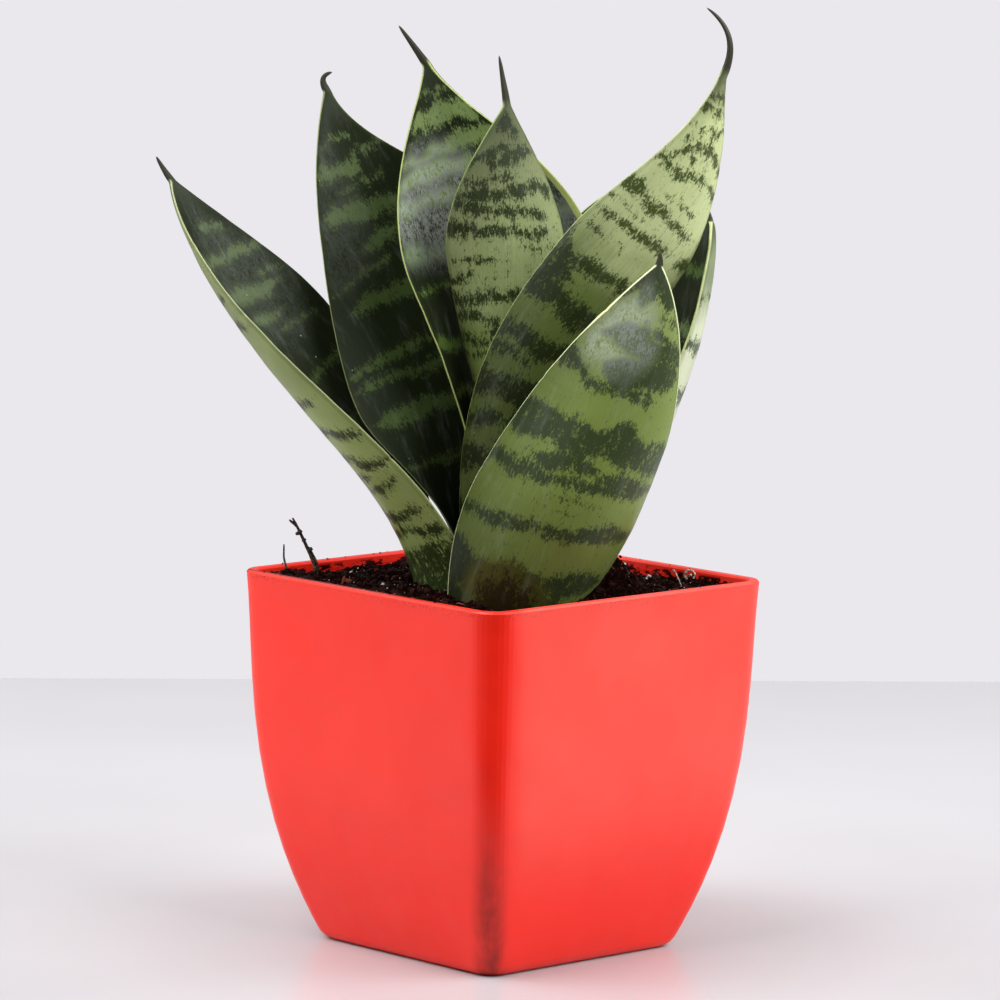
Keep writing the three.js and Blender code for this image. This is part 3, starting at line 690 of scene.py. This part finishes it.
def leaf_finish(name, leaf, seed):
    finish = Finish(name)
    across, along = finish.held("across"), finish.held("along")
    outer, field = finish.held("outer_face"), finish.held("dark_field")
    margin, side = finish.held("from_margin"), finish.held("share_across")
    in_spine = finish.held("in_spine")
    place = finish.join_xyz(across, along, outer * 40 + seed * 13.0)

    streaks = finish.grain(place, (2.6, 0.07, 1.0), 3, 0.6)
    flecks = finish.grain(place, (1.9, 0.75, 1.0), 4, 0.8)
    tatters = finish.grain(place, (0.5, 0.2, 1.0), 3, 0.6)
    clouds = finish.grain(place, (0.09, 0.07, 1.0), 2)
    ragged = field + (flecks - 0.5) * 13.0 + (tatters - 0.5) * 7.0
    pale = along.rise(leaf["pale"][0], leaf["pale"][1])
    pale = (pale + (clouds - 0.5) * 0.9 + (streaks - 0.5) * 0.4).rise(0, 1)
    tones = []
    for greens, softness in SOFTNESS.items():
        light, paler, dark = leaf[greens]
        ground = finish.shade(finish.blend(light, paler, pale), 0.86 + streaks * 0.28)
        marks = finish.shade(finish.blend(dark, light, pale * leaf["faint"]), 0.7 + flecks * 0.6)
        tones.append(finish.blend(ground, marks, ragged.rise(-softness, softness)))
    colour = finish.blend(tones[0], tones[1], outer)

    def away_from(middle, run, reach, run_reach):
        return ((side - middle) / reach) ** 2 + ((along - run) / run_reach) ** 2

    # Painted shade: darker along the shaded base, and one half painted darker, or lighter where far_dark
    # is below 0.
    start, end, least = leaf["base_shade"]
    below = along.rise(start, end)
    far = 1 - leaf["far_dark"] * side.rise(0, 0.9)
    colour = finish.shade(colour, (least + (1 - least) * below) * (1 - leaf["lean"] * side) * far)
    if "brown" in leaf:
        away = away_from(*leaf["brown"])
        scorch = (away + (flecks - 0.5) * 4.0 + (tatters - 0.5) * 3.0).rise(1.1, 0.3)
        stain = (away + (clouds - 0.5)).rise(2.4, 0.9)
        colour = finish.blend(colour, (84, 78, 24), stain * 0.5)
        colour = finish.blend(colour, (30, 16, 6), scorch * 0.85)

    # Painted sheens: whitish painted highlights, flecked, laid over the leaf's own faint wax.
    wax_and_sheen = finish.grain(place, (0.3, 0.06, 1.0), 4, 0.65).rise(0.5, 0.8) * 0.1
    cover = (flecks * 1.8 + tatters - 0.6).rise(0.5, 0.95) * (1 - 0.2 * ragged.rise(-1, 1))
    for *where, share in leaf["painted_sheens"]:
        wax_and_sheen = wax_and_sheen + share * (away_from(*where) + (clouds - 0.5) * 1.2).rise(1.3, 0) * cover
    sheen = finish.shade((200, 208, 197), 0.6 + 0.8 * flecks)
    colour = finish.blend(colour, sheen, wax_and_sheen.least(1) * 0.84)
    spine_brown = in_spine.rise(0, 0.15)
    tip_dark = finish.held("tip_share").rise(leaf["tip_from"], 1)
    colour = finish.blend(colour, (62, 68, 54), tip_dark * 0.75)
    colour = finish.blend(colour, (64, 60, 52), spine_brown)

    lined = margin + (flecks - 0.5) * 0.2
    rim_width = leaf["rim_width"]
    if "wide_rim" in leaf:
        toward, start, end, more = leaf["wide_rim"]
        here = along.rise(start, start + 10) * along.rise(end, end - 10)
        rim_width = more * here * (side * toward).rise(0.2, 0.6) + rim_width
    rim = lined.rise(rim_width + 0.1, rim_width - 0.1) * (1 - spine_brown)
    colour = finish.blend(colour, (40, 52, 24), lined.rise(1.6, 0.8) * 0.25)
    rim_colour = finish.blend(leaf["rim"], (206, 208, 150), clouds.rise(0.5, 0.8))
    rim_colour = finish.shade(rim_colour, 0.8 + 0.4 * flecks)
    colour = finish.blend(colour, rim_colour, rim)

    cells = finish.node("ShaderNodeTexVoronoi", {"Vector": place, "Scale": 0.2})
    chosen = cells.out("Color").parts()[0].rise(0.78, 0.82)
    dust = cells.rise(0.055, 0.03) * chosen
    colour = finish.blend(colour, (206, 206, 196), dust * 0.8)

    rough = 0.44 - 0.16 * outer + 0.1 * streaks + 0.06 * clouds + 0.1 * wax_and_sheen
    normal = finish.bump(streaks, 0.05)
    normal = finish.bump(finish.grain(place, (0.9, 0.25, 1.0), 3), 0.08, normal)
    # The margin glows a little: painted light.
    painted_glow = finish.shade(rim_colour, rim)
    return finish.done(Base_Color=colour, Roughness=rough, Specular_IOR_Level=leaf["gloss"],
                       Normal=normal, Emission_Color=painted_glow, Emission_Strength=leaf["rim_glow"])


def grow_leaves():
    growth = leaf_growth()
    for seed, (name, row) in enumerate(LEAVES.items(), 1):
        leaf = {**USUAL, **row}
        points = [list(in_row(p)) for p in leaf["rib"] + leaf["spine"]]
        piece = growth.grow(name + "_blade", {
            **dict(zip(LEAF_POINTS, points)),
            "Open Turn": [math.radians(a) + PLANT_TURN for a in leaf["open"]],
            "Channel": [math.radians(a) for a in leaf["channel"]],
            "Nicks": [n * MM for n in leaf["nicks"]], "Nick Side": float(leaf["nick_side"]),
            "Nick Depth": leaf["nick_depth"] * MM, "Width": leaf["width"] * MM,
            "Widest": leaf["widest"], "Base Share": leaf["base"], "Tip Fullness": leaf["tip"],
            "Flare": leaf["flare"], "Seed": float(seed),
            "Material": leaf_finish(name.replace("_", " "), leaf, seed)})
        mesh = piece.data
        across, along = read_points(mesh, "share_across"), read_points(mesh, "along")
        outer = read_points(mesh, "outer_face") > 0.5
        fields = [dark_field(leaf, face, across, along, seed) for face in ("outer", "inner")]
        keep_points(mesh, "dark_field", np.where(outer, *fields))
        blade_length = along[read_points(mesh, "in_spine") <= 0].max()
        keep_points(mesh, "tip_share", along / blade_length)
        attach(piece, "root")
        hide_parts(name)


# ---- soil ----
POT_HEIGHT = 100
POT_RIM_SIDE = 101.6
POT_BASE_SIDE = 69.4
POT_WALL = 2.2
POT_FLOOR = 2.5
RIM_WIDTH = 3
RIM_INSET = 1
RIM_FLARE = 1
FLARE_POWER = 8
SWELL_POWER = 2.8
CORNER_AT_RIM = 7.6
CORNER_AT_BASE = 6
SOIL_LEVEL = 97.1
SOIL_SLOPE = 0.02
SOIL_GAP = 0.4
HIGHEST_SOIL = 107.5
EDGE_DROP = 0.5  # of the soil's outermost ring
RINGS_UP_THE_WALL = (6.5, 11.5, 19.5, 28.5, 38.5, 49.5, 61.5, 73.5, 84.5, 92.5)
TOP_RINGS = 64
ARC_STEPS, SIDE_STEPS, RIM_STEPS = 6, 50, 20  # of a ring's corners and sides, and the rim's sides
# The middle of each in the plant's frame, its reach and its height or depth.
HEAP = (25, -9, 10, 10.5)
HOLLOW = (4, -42, 16, 2.6)


def pot_half(height):
    share = height / POT_HEIGHT
    swell = (POT_RIM_SIDE - POT_BASE_SIDE) / 2 - RIM_FLARE
    swell *= 1 - (1 - share) ** SWELL_POWER
    return POT_BASE_SIDE / 2 + RIM_FLARE * share ** FLARE_POWER + swell


def pot_corner(height):
    return CORNER_AT_BASE + (CORNER_AT_RIM - CORNER_AT_BASE) * height / POT_HEIGHT


def square_ring(half, corner, arc_steps, side_steps):
    ring = []
    inner = half - corner
    for quarter in range(4):
        turn = Matrix.Rotation(quarter * math.pi / 2, 2)
        flat = []
        for i in range(arc_steps + 1):
            angle = i / arc_steps * math.pi / 2
            flat.append((inner + corner * math.cos(angle), inner + corner * math.sin(angle)))
        for i in range(1, side_steps):
            flat.append((inner - 2 * inner * i / side_steps, half))
        ring += [turn @ Vector(p) for p in flat]
    return ring


def soil_height(x, y):
    """Of the soil at a place in the plant's frame, with its clods."""
    def hump(middle_x, middle_y, reach, size, steepness):
        away = ((x - middle_x) ** 2 + (y - middle_y) ** 2) / reach ** 2
        return size * math.exp(-away ** steepness)
    heap = hump(*HEAP, 1.5)
    sunk = hump(*HOLLOW, 1)
    at_back_wall = min(max((abs(x) + y - 46) / 14, 0), 1) * min(max((y - 6) / 12, 0), 1)
    sunk += 1.2 * at_back_wall - 1.6 * min(max((x - 28) / 20, 0), 1)
    lumps = 0.45 * math.sin(0.31 * x + 0.6) * math.cos(0.27 * y)
    lumps += 0.3 * math.sin(0.63 * y - 0.41 * x)
    clods = 0.9 * noise.fractal(Vector((x, y, 3.0)) * 0.32, 0.8, 2.1, 4)
    return SOIL_LEVEL - SOIL_SLOPE * x + heap - sunk + lumps + clods


def soil_finish():
    finish = Finish("dark potting soil")
    place = finish.place()
    crumbs = finish.grain(place, 1.1, 5, 0.7)
    patches = finish.grain(place, 0.16, 2)
    colour = finish.blend((9, 3, 3), (36, 16, 12), crumbs.rise(0.4, 0.78))
    colour = finish.blend(colour, (72, 34, 26), (patches * crumbs).rise(0.34, 0.5) * 0.6)
    return finish.done(Base_Color=colour, Roughness=0.6 + 0.3 * crumbs, Specular_IOR_Level=0.0,
                       Normal=finish.bump(crumbs, 0.6))


def crumb_finish(name, dark, light):
    finish = Finish(name)
    place = finish.place()
    tint = finish.held("tint")
    pores = finish.grain(place, 3.0, 4, 0.65)
    colour = finish.blend(dark, light, (tint * 0.7 + pores * 0.45).rise(0.2, 0.95))
    return finish.done(Base_Color=colour, Roughness=0.6 - 0.3 * pores, Specular_IOR_Level=0.03,
                       Normal=finish.bump(pores, 0.25))


def make_soil_bed():
    """Square rings up the inside of the pot, and then inwards over the top."""
    rings = []
    clear = POT_WALL + SOIL_GAP
    for height in (POT_FLOOR + 0.3, *RINGS_UP_THE_WALL):
        flat = square_ring(pot_half(height) - clear, pot_corner(height) - clear, ARC_STEPS, SIDE_STEPS)
        rings.append([(p.x, p.y, height) for p in flat])
    first_top = len(rings)
    edge = pot_half(POT_HEIGHT) - RIM_WIDTH - SOIL_GAP
    turn = Matrix.Rotation(-PLANT_TURN, 2)
    for i in range(TOP_RINGS):
        share = 1 - i / TOP_RINGS
        ring = []
        for p in square_ring(edge * share, (CORNER_AT_RIM - RIM_WIDTH) * share, ARC_STEPS, SIDE_STEPS):
            height = min(soil_height(*(turn @ p)), HIGHEST_SOIL)
            ring.append((p.x, p.y, height - (EDGE_DROP if i == 0 else 0)))
        rings.append(ring)
    count = len(rings[0])
    points = [Vector(p) * MM for ring in rings for p in ring]
    faces = []
    for i in range(len(rings) - 1):
        for j in range(count):
            a, b = i * count + j, i * count + (j + 1) % count
            faces.append((a, b, b + count, a + count))
    low, high = len(points), len(points) + 1
    points.append(Vector((0, 0, rings[0][0][2])) * MM)
    points.append(Vector((0, 0, soil_height(0, 0))) * MM)
    top = (len(rings) - 1) * count
    for j in range(count):
        k = (j + 1) % count
        faces += [(k, j, low), (top + j, top + k, high)]
    mesh = mesh_from("soil_bed", points, faces, soil_finish())
    share = np.zeros(len(points))
    share[first_top * count:top + count] = 1
    share[high] = 1
    keep_points(mesh, "crumb_share", share)
    return put_in_scene("soil_bed", mesh)


FULL_TURN = 6.283
SMALL_SHARE = 2.2  # the higher, the more of the lumps are small
LUMP_DENT_SCALE, KNOB_SCALE = 900.0, 1400.0


def crumb_growth():
    """Lumps strewn over a surface, each its own size, turn and tint."""
    numbers = ["Density", "Smallest", "Largest", "Roughness", "Sink", "Flatness"]
    strew = Growth("strewn crumbs", {
        "Ground": "Geometry", **dict.fromkeys(numbers, "Float"), "Fineness": "Int", "Seed": "Int",
        "Material": "Material"})
    want = strew.want
    spread = {"Mesh": want("Ground"), "Density": want("Density") * strew.held("crumb_share"),
              "Seed": want("Seed")}
    points = strew.node("GeometryNodeDistributePointsOnFaces", spread)

    def draw(low, high, more):
        """A number, or three where three are given, drawn at random for each lump."""
        three = isinstance(low, tuple)
        kind, first = ("FLOAT_VECTOR", 0) if three else ("FLOAT", 2)
        sockets = {first: low, first + 1: high, 8: want("Seed") + more}
        return strew.node("FunctionNodeRandomValue", sockets, 0 if three else 1, data_type=kind)

    size = want("Smallest") + (want("Largest") - want("Smallest")) * draw(0.0, 1.0, 1) ** SMALL_SHARE
    shape = draw((0.7, 0.7, 0.5), (1.25, 1.25, 1.0), 2)
    turn = draw((0.0, 0.0, 0.0), (FULL_TURN, FULL_TURN, FULL_TURN), 3)
    tinted = strew.keep(points, "tint", draw(0.0, 1.0, 4))
    tinted = strew.keep(tinted, "lump_size", size)
    ball = {"Radius": 1.0, "Subdivisions": want("Fineness")}
    lump = strew.node("GeometryNodeMeshIcoSphere", ball)
    scale = shape.scaled(size).stretched(strew.join_xyz(1.0, 1.0, want("Flatness")))
    placing = {"Points": tinted, "Instance": lump, "Rotation": turn, "Scale": scale}
    placed = strew.node("GeometryNodeInstanceOnPoints", placing)
    solid = strew.node("GeometryNodeRealizeInstances", {0: placed})
    own = strew.held("lump_size")
    dents = strew.dents(LUMP_DENT_SCALE, own * want("Roughness"))
    drop = strew.join_xyz(0.0, 0.0, -1 * own * want("Sink"))
    strew.give(strew.move(solid, Offset=dents.plus(drop)))
    return strew


# Name, how many on a square metre, smallest and largest radius, roughness, sink, flatness,
# fineness, seed, and dark and light colours.
CRUMBS = [
    ("soil_fines", 800000, 0.2, 0.45, 1.2, 0.2, 1.0, 1, 3, (8, 3, 2), (42, 18, 13)),
    ("soil_crumbs", 222000, 0.35, 0.95, 1.3, 0.2, 0.9, 2, 7, (9, 4, 3), (42, 20, 16)),
    ("soil_clods", 26000, 0.9, 1.9, 1.2, 0.25, 0.85, 3, 11, (14, 7, 6), (40, 21, 17)),
    ("bark_bits", 15000, 0.7, 1.6, 0.8, 0.1, 0.3, 2, 17, (44, 18, 13), (132, 66, 54)),
    ("perlite_bits", 4200, 0.35, 0.8, 0.7, 0.0, 0.9, 2, 23, (170, 160, 150), (222, 216, 208)),
    # Tiny pale specks that stand for the soil's glints: painted highlights.
    ("pale_grit", 60000, 0.12, 0.26, 0.9, -0.6, 0.9, 1, 31, (92, 70, 64), (214, 200, 192)),
]
RIM_CRUMBS = [
    ("rim_crumbs", 90000, 0.15, 0.5, 1.2, -0.4, 0.8, 2, 29, (12, 6, 5), (58, 30, 24)),
]


def rim_ground():
    """The flat top of the pot's rim, as somewhere for crumbs to lie, more of them at its back."""
    rings = [square_ring(POT_RIM_SIDE / 2 - inset, CORNER_AT_RIM - inset, ARC_STEPS, RIM_STEPS)
             for inset in (RIM_INSET, RIM_WIDTH)]
    count = len(rings[0])
    points = [(p.x * MM, p.y * MM, POT_HEIGHT * MM) for ring in rings for p in ring]
    faces = [(i, (i + 1) % count, (i + 1) % count + count, i + count) for i in range(count)]
    mesh = mesh_from("rim_ground", points, faces)
    keep_points(mesh, "crumb_share", [min(max((q[1] - q[0]) * 12 - 0.1, 0.12), 1) for q in points])
    return mesh


def strew_crumbs(ground, table):
    growth = crumb_growth()
    for name, density, small, large, rough, sink, flat, fine, seed, dark, light in table:
        finish = crumb_finish(name.replace("_", " "), dark, light)
        values = {"Density": float(density), "Smallest": small * MM, "Largest": large * MM,
                  "Roughness": rough, "Sink": sink, "Flatness": flat, "Fineness": fine,
                  "Seed": seed, "Material": finish}
        piece = growth.grow(name, values, ground.copy())
        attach(piece, "root")


# ---- twig, thread and litter ----
# Each strand's radius and its path. A short stout one is a knot, and is rounded at both ends.
STRANDS = {
    "dry_twig": [
        (0.55, [(-49.2, 15, 93.5), (-50.7, 15, 99.1), (-52.7, 15, 103.8), (-55, 15, 108.6),
                (-56.9, 15, 112.2)]),
        (0.45, [(-49.6, 15.4, 93), (-50, 15.3, 98.6), (-51.2, 15.1, 102), (-52.6, 15, 104.4)]),
        (0.4, [(-55.8, 15, 110), (-56.9, 14.9, 111), (-57.8, 14.8, 111.7)]),
        (0.85, [(-54.7, 15, 107.9), (-55, 15, 108.5), (-55.3, 15, 109)]),
        (0.6, [(-55, 15, 108.2), (-55.6, 14.9, 108), (-56, 14.8, 107.8)]),
        (0.8, [(-51.9, 15.1, 103.2), (-52.1, 15.1, 103.8), (-52.4, 15.1, 104.3)]),
        (0.75, [(-53.6, 15, 105.9), (-53.8, 15, 106.3), (-54, 15, 106.7)]),
    ],
    "dry_thread": [(0.35, [(-57.2, 7, 92), (-57.6, 7.2, 98), (-58.8, 8, 102), (-58.9, 8, 106)])],
}
THINNEST_KNOT = 0.7
KNOT_END, KNOT_SLOPE = 0.06, 4.0  # how blunt a knot's ends are, and how fast it widens from them
END_THINNING = 0.45  # of the radius, at a strand's far end
BARE_SHARE = 0.92  # of the radius, before the knobs are added
PATH_STEPS = 8
TWIG_KNOBS = 0.25 * MM
LITTER_KNOBS = 0.6 * MM
# A straw and a curled husk that lie on the soil in the right corner.
LITTER = [
    (0.22, [(46, 13, 100), (46.6, 8, 99.8), (47.2, 2, 99), (47.8, -4, 98.2)]),
    (0.42, [(49.6, 13, 97.6), (49, 12.6, 98.8), (49.7, 12.3, 99.9), (51, 12.2, 100.1),
            (51.8, 12.4, 99.1), (51.4, 12.2, 98)]),
    (0.3, [(50.2, 12, 98.4), (50.6, 11.7, 99), (51, 11.6, 98.6)]),
]


def strand_growth():
    """Round stems along the edges of a wire, knobbly, thinner at their ends."""
    stem = Growth("dry stems", {"Wire": "Geometry", "Knobs": "Float", "Material": "Material"})
    curve = stem.node("GeometryNodeMeshToCurve", {0: stem.want("Wire")})
    ring = stem.node("GeometryNodeCurvePrimitiveCircle", {"Resolution": 10, "Radius": 1.0})
    sweep = {"Curve": curve, "Profile Curve": ring, "Scale": stem.held("stem_radius"), "Fill Caps": True}
    round_stem = stem.node("GeometryNodeCurveToMesh", sweep)
    stem.give(stem.move(round_stem, Offset=stem.dents(KNOB_SCALE, stem.want("Knobs"))))
    return stem


def smooth_path(path, steps):
    """Points on a smooth curve through the path."""
    p = [Vector(a) for a in path]
    p = [2 * p[0] - p[1], *p, 2 * p[-1] - p[-2]]
    made = []
    for i in range(1, len(p) - 2):
        for k in range(steps):
            t = k / steps
            a, b, c, d = p[i - 1:i + 3]
            made.append(0.5 * ((2 * b) + (c - a) * t + (2 * a - 5 * b + 4 * c - d) * t ** 2
                               + (3 * b - a - 3 * c + d) * t ** 3))
    return made + [p[-2]]


def stem_finish():
    finish = Finish("dry dead stem")
    place = finish.place()
    bark = finish.grain(place, 2.4, 4, 0.7)
    colour = finish.blend((34, 28, 25), (92, 78, 66), bark.rise(0.35, 0.75))
    split = place.parts()[2].rise(105, 99) * bark.rise(0.45, 0.6)
    colour = finish.blend(colour, (150, 130, 104), split * 0.7)
    return finish.done(Base_Color=colour, Roughness=0.7 + 0.25 * bark, Specular_IOR_Level=0.3,
                       Normal=finish.bump(bark, 0.3))


def litter_finish():
    finish = Finish("pale dry litter")
    place = finish.place()
    fibres = finish.grain(place, 1.6, 4, 0.7)
    colour = finish.blend((96, 78, 62), (214, 204, 186), fibres.rise(0.35, 0.6))
    return finish.done(Base_Color=colour, Roughness=0.5 + 0.3 * fibres, Specular_IOR_Level=0.2,
                       Normal=finish.bump(fibres, 0.1))


def stem_width(radius, share, is_knot):
    """Half the thickness at a share of the strand's length."""
    from_end = min(share + KNOT_END, 1 + KNOT_END - share)
    rounded = min(1.0, KNOT_SLOPE * from_end) if is_knot else 1.0
    return radius * (1 - END_THINNING * share ** 3) * rounded * BARE_SHARE


def make_stems():
    growth = strand_growth()
    finish = stem_finish()
    for name, strands in {**STRANDS, "pale_litter": LITTER}.items():
        points, edges, widths = [], [], []
        for radius, path in strands:
            line = smooth_path(path, PATH_STEPS)
            start, last = len(points), len(line) - 1
            is_knot = len(path) == 3 and radius > THINNEST_KNOT
            points += [in_row(p) for p in line]
            widths += [stem_width(radius * MM, i / last, is_knot) for i in range(len(line))]
            edges += [(start + i, start + i + 1) for i in range(last)]
        wire = bpy.data.meshes.new(name + "_wire")
        wire.from_pydata(points, edges, [])
        keep_points(wire, "stem_radius", widths)
        if name in STRANDS:
            values = {"Knobs": TWIG_KNOBS, "Material": finish}
            piece = growth.grow(name + "_strands", values, wire)
            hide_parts(name)
        else:
            values = {"Knobs": LITTER_KNOBS, "Material": litter_finish()}
            piece = growth.grow(name, values, wire)
        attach(piece, "root")


# ---- pot ----
POT_FLAT = 43.2  # half of a side's flat part at the rim
# The groove is the rim's inner ledge, which is not modelled: its dark line is painted shade with dirt in
# it.
GROOVE_AT, GROOVE_HALF = -48.7, 1.2  # the dirty groove along the front rim, and half its width


def pot_finish():
    """Satin red plastic. Its walls carry a painted sheen, a painted highlight along the rim and painted
    shade; the inside glows a little, painted light for light coming through the thin wall.
    """
    finish = Finish("satin red plastic")
    place = finish.place()
    x, y, z = place.parts()
    clouds = finish.grain(place, 0.03, 2)
    fine = finish.grain(place, 1.8, 3)
    colour = finish.blend((244, 33, 14), (250, 39, 18), clouds)
    sideways = abs(x + y)
    # Painted sheen: a pinkish painted highlight on the upper walls, strongest on the right face and kept
    # off the corner.
    painted_pink_sheen = z.rise(15, 55) * (0.5 + clouds) * (0.16 + 0.42 * (x + y).rise(4, 16))
    colour = finish.blend(colour, (255, 96, 82), painted_pink_sheen * sideways.rise(4, 12))
    # Painted shade: the walls a little darker towards the bottom.
    colour = finish.shade(colour, 0.96 + 0.04 * z.rise(12, 62))
    front = (x - y).rise(40, 60)
    smear = finish.grain(place, (0.2, 0.2, 0.07), 3, 0.6)
    smudge = front * sideways.rise(9, 0.5) * z.rise(52, 12) * smear.rise(0, 0.85)
    colour = finish.blend(colour, (84, 24, 17), smudge * 0.8)
    specks = finish.grain(place, 2.2, 3, 0.8)
    dirt = z.rise(96.5, 99.5) * specks.rise(0.54, 0.64) * clouds.rise(0.3, 0.55)
    colour = finish.blend(colour, (70, 34, 26), dirt * 0.8)
    # Painted shade with dirt in it, along the front rim's inner ledge.
    groove = (1 - abs(y - GROOVE_AT) / GROOVE_HALF).most(0) * z.rise(98.8, 99.4) * x.rise(45, 0)
    grime_and_ledge_shade = (groove * 2).least(1) * specks.rise(0.3, 0.5)
    colour = finish.blend(colour, (74, 22, 16), grime_and_ledge_shade * 0.9)
    # A pinkish painted highlight along the rim's edge.
    painted_rim_highlight = z.rise(98.8, 99.8) * finish.grain(place, 0.7, 3, 0.75).rise(0.66, 0.72)
    colour = finish.blend(colour, (250, 150, 130), painted_rim_highlight * 0.7)
    rough = 0.3 + 0.12 * clouds + 0.3 * smudge + 0.3 * dirt + 0.04 * fine
    normal = finish.bump(fine, 0.012)
    normal = finish.bump(finish.grain(place, 0.035, 2), 1.6, normal)
    out_x, out_y = (abs(x) - POT_FLAT).most(0), (abs(y) - POT_FLAT).most(0)
    inside = ((out_x ** 2 + out_y ** 2) ** 0.5).rise(5.7, 5.3) * z.rise(86, 90)
    clinging = finish.grain(place, (0.3, 0.3, 0.5), 4, 0.7).rise(0.47, 0.52) * inside
    clinging = (clinging * z.rise(99.4, 98.4)).most(inside * z.rise(96.6, 95.6))
    colour = finish.blend(colour, (28, 11, 8), clinging * 0.92)
    # Painted light: the upper inside of the wall glows.
    painted_glow = finish.shade((255, 40, 26), inside * (1 - clinging))
    return finish.done(Base_Color=colour, Roughness=rough, Normal=normal, Specular_IOR_Level=0.4,
                       Emission_Color=painted_glow, Emission_Strength=0.3)


def dress_pot():
    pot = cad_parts["pot"]
    pot.data.materials.clear()
    pot.data.materials.append(pot_finish())


# ---- the whole scene ----
set_camera()
lay_floor()
set_light()
dress_pot()
grow_leaves()
soil = make_soil_bed()
strew_crumbs(soil.data, CRUMBS)
strew_crumbs(rim_ground(), RIM_CRUMBS)
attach(soil, "root")
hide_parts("soil")
make_stems()
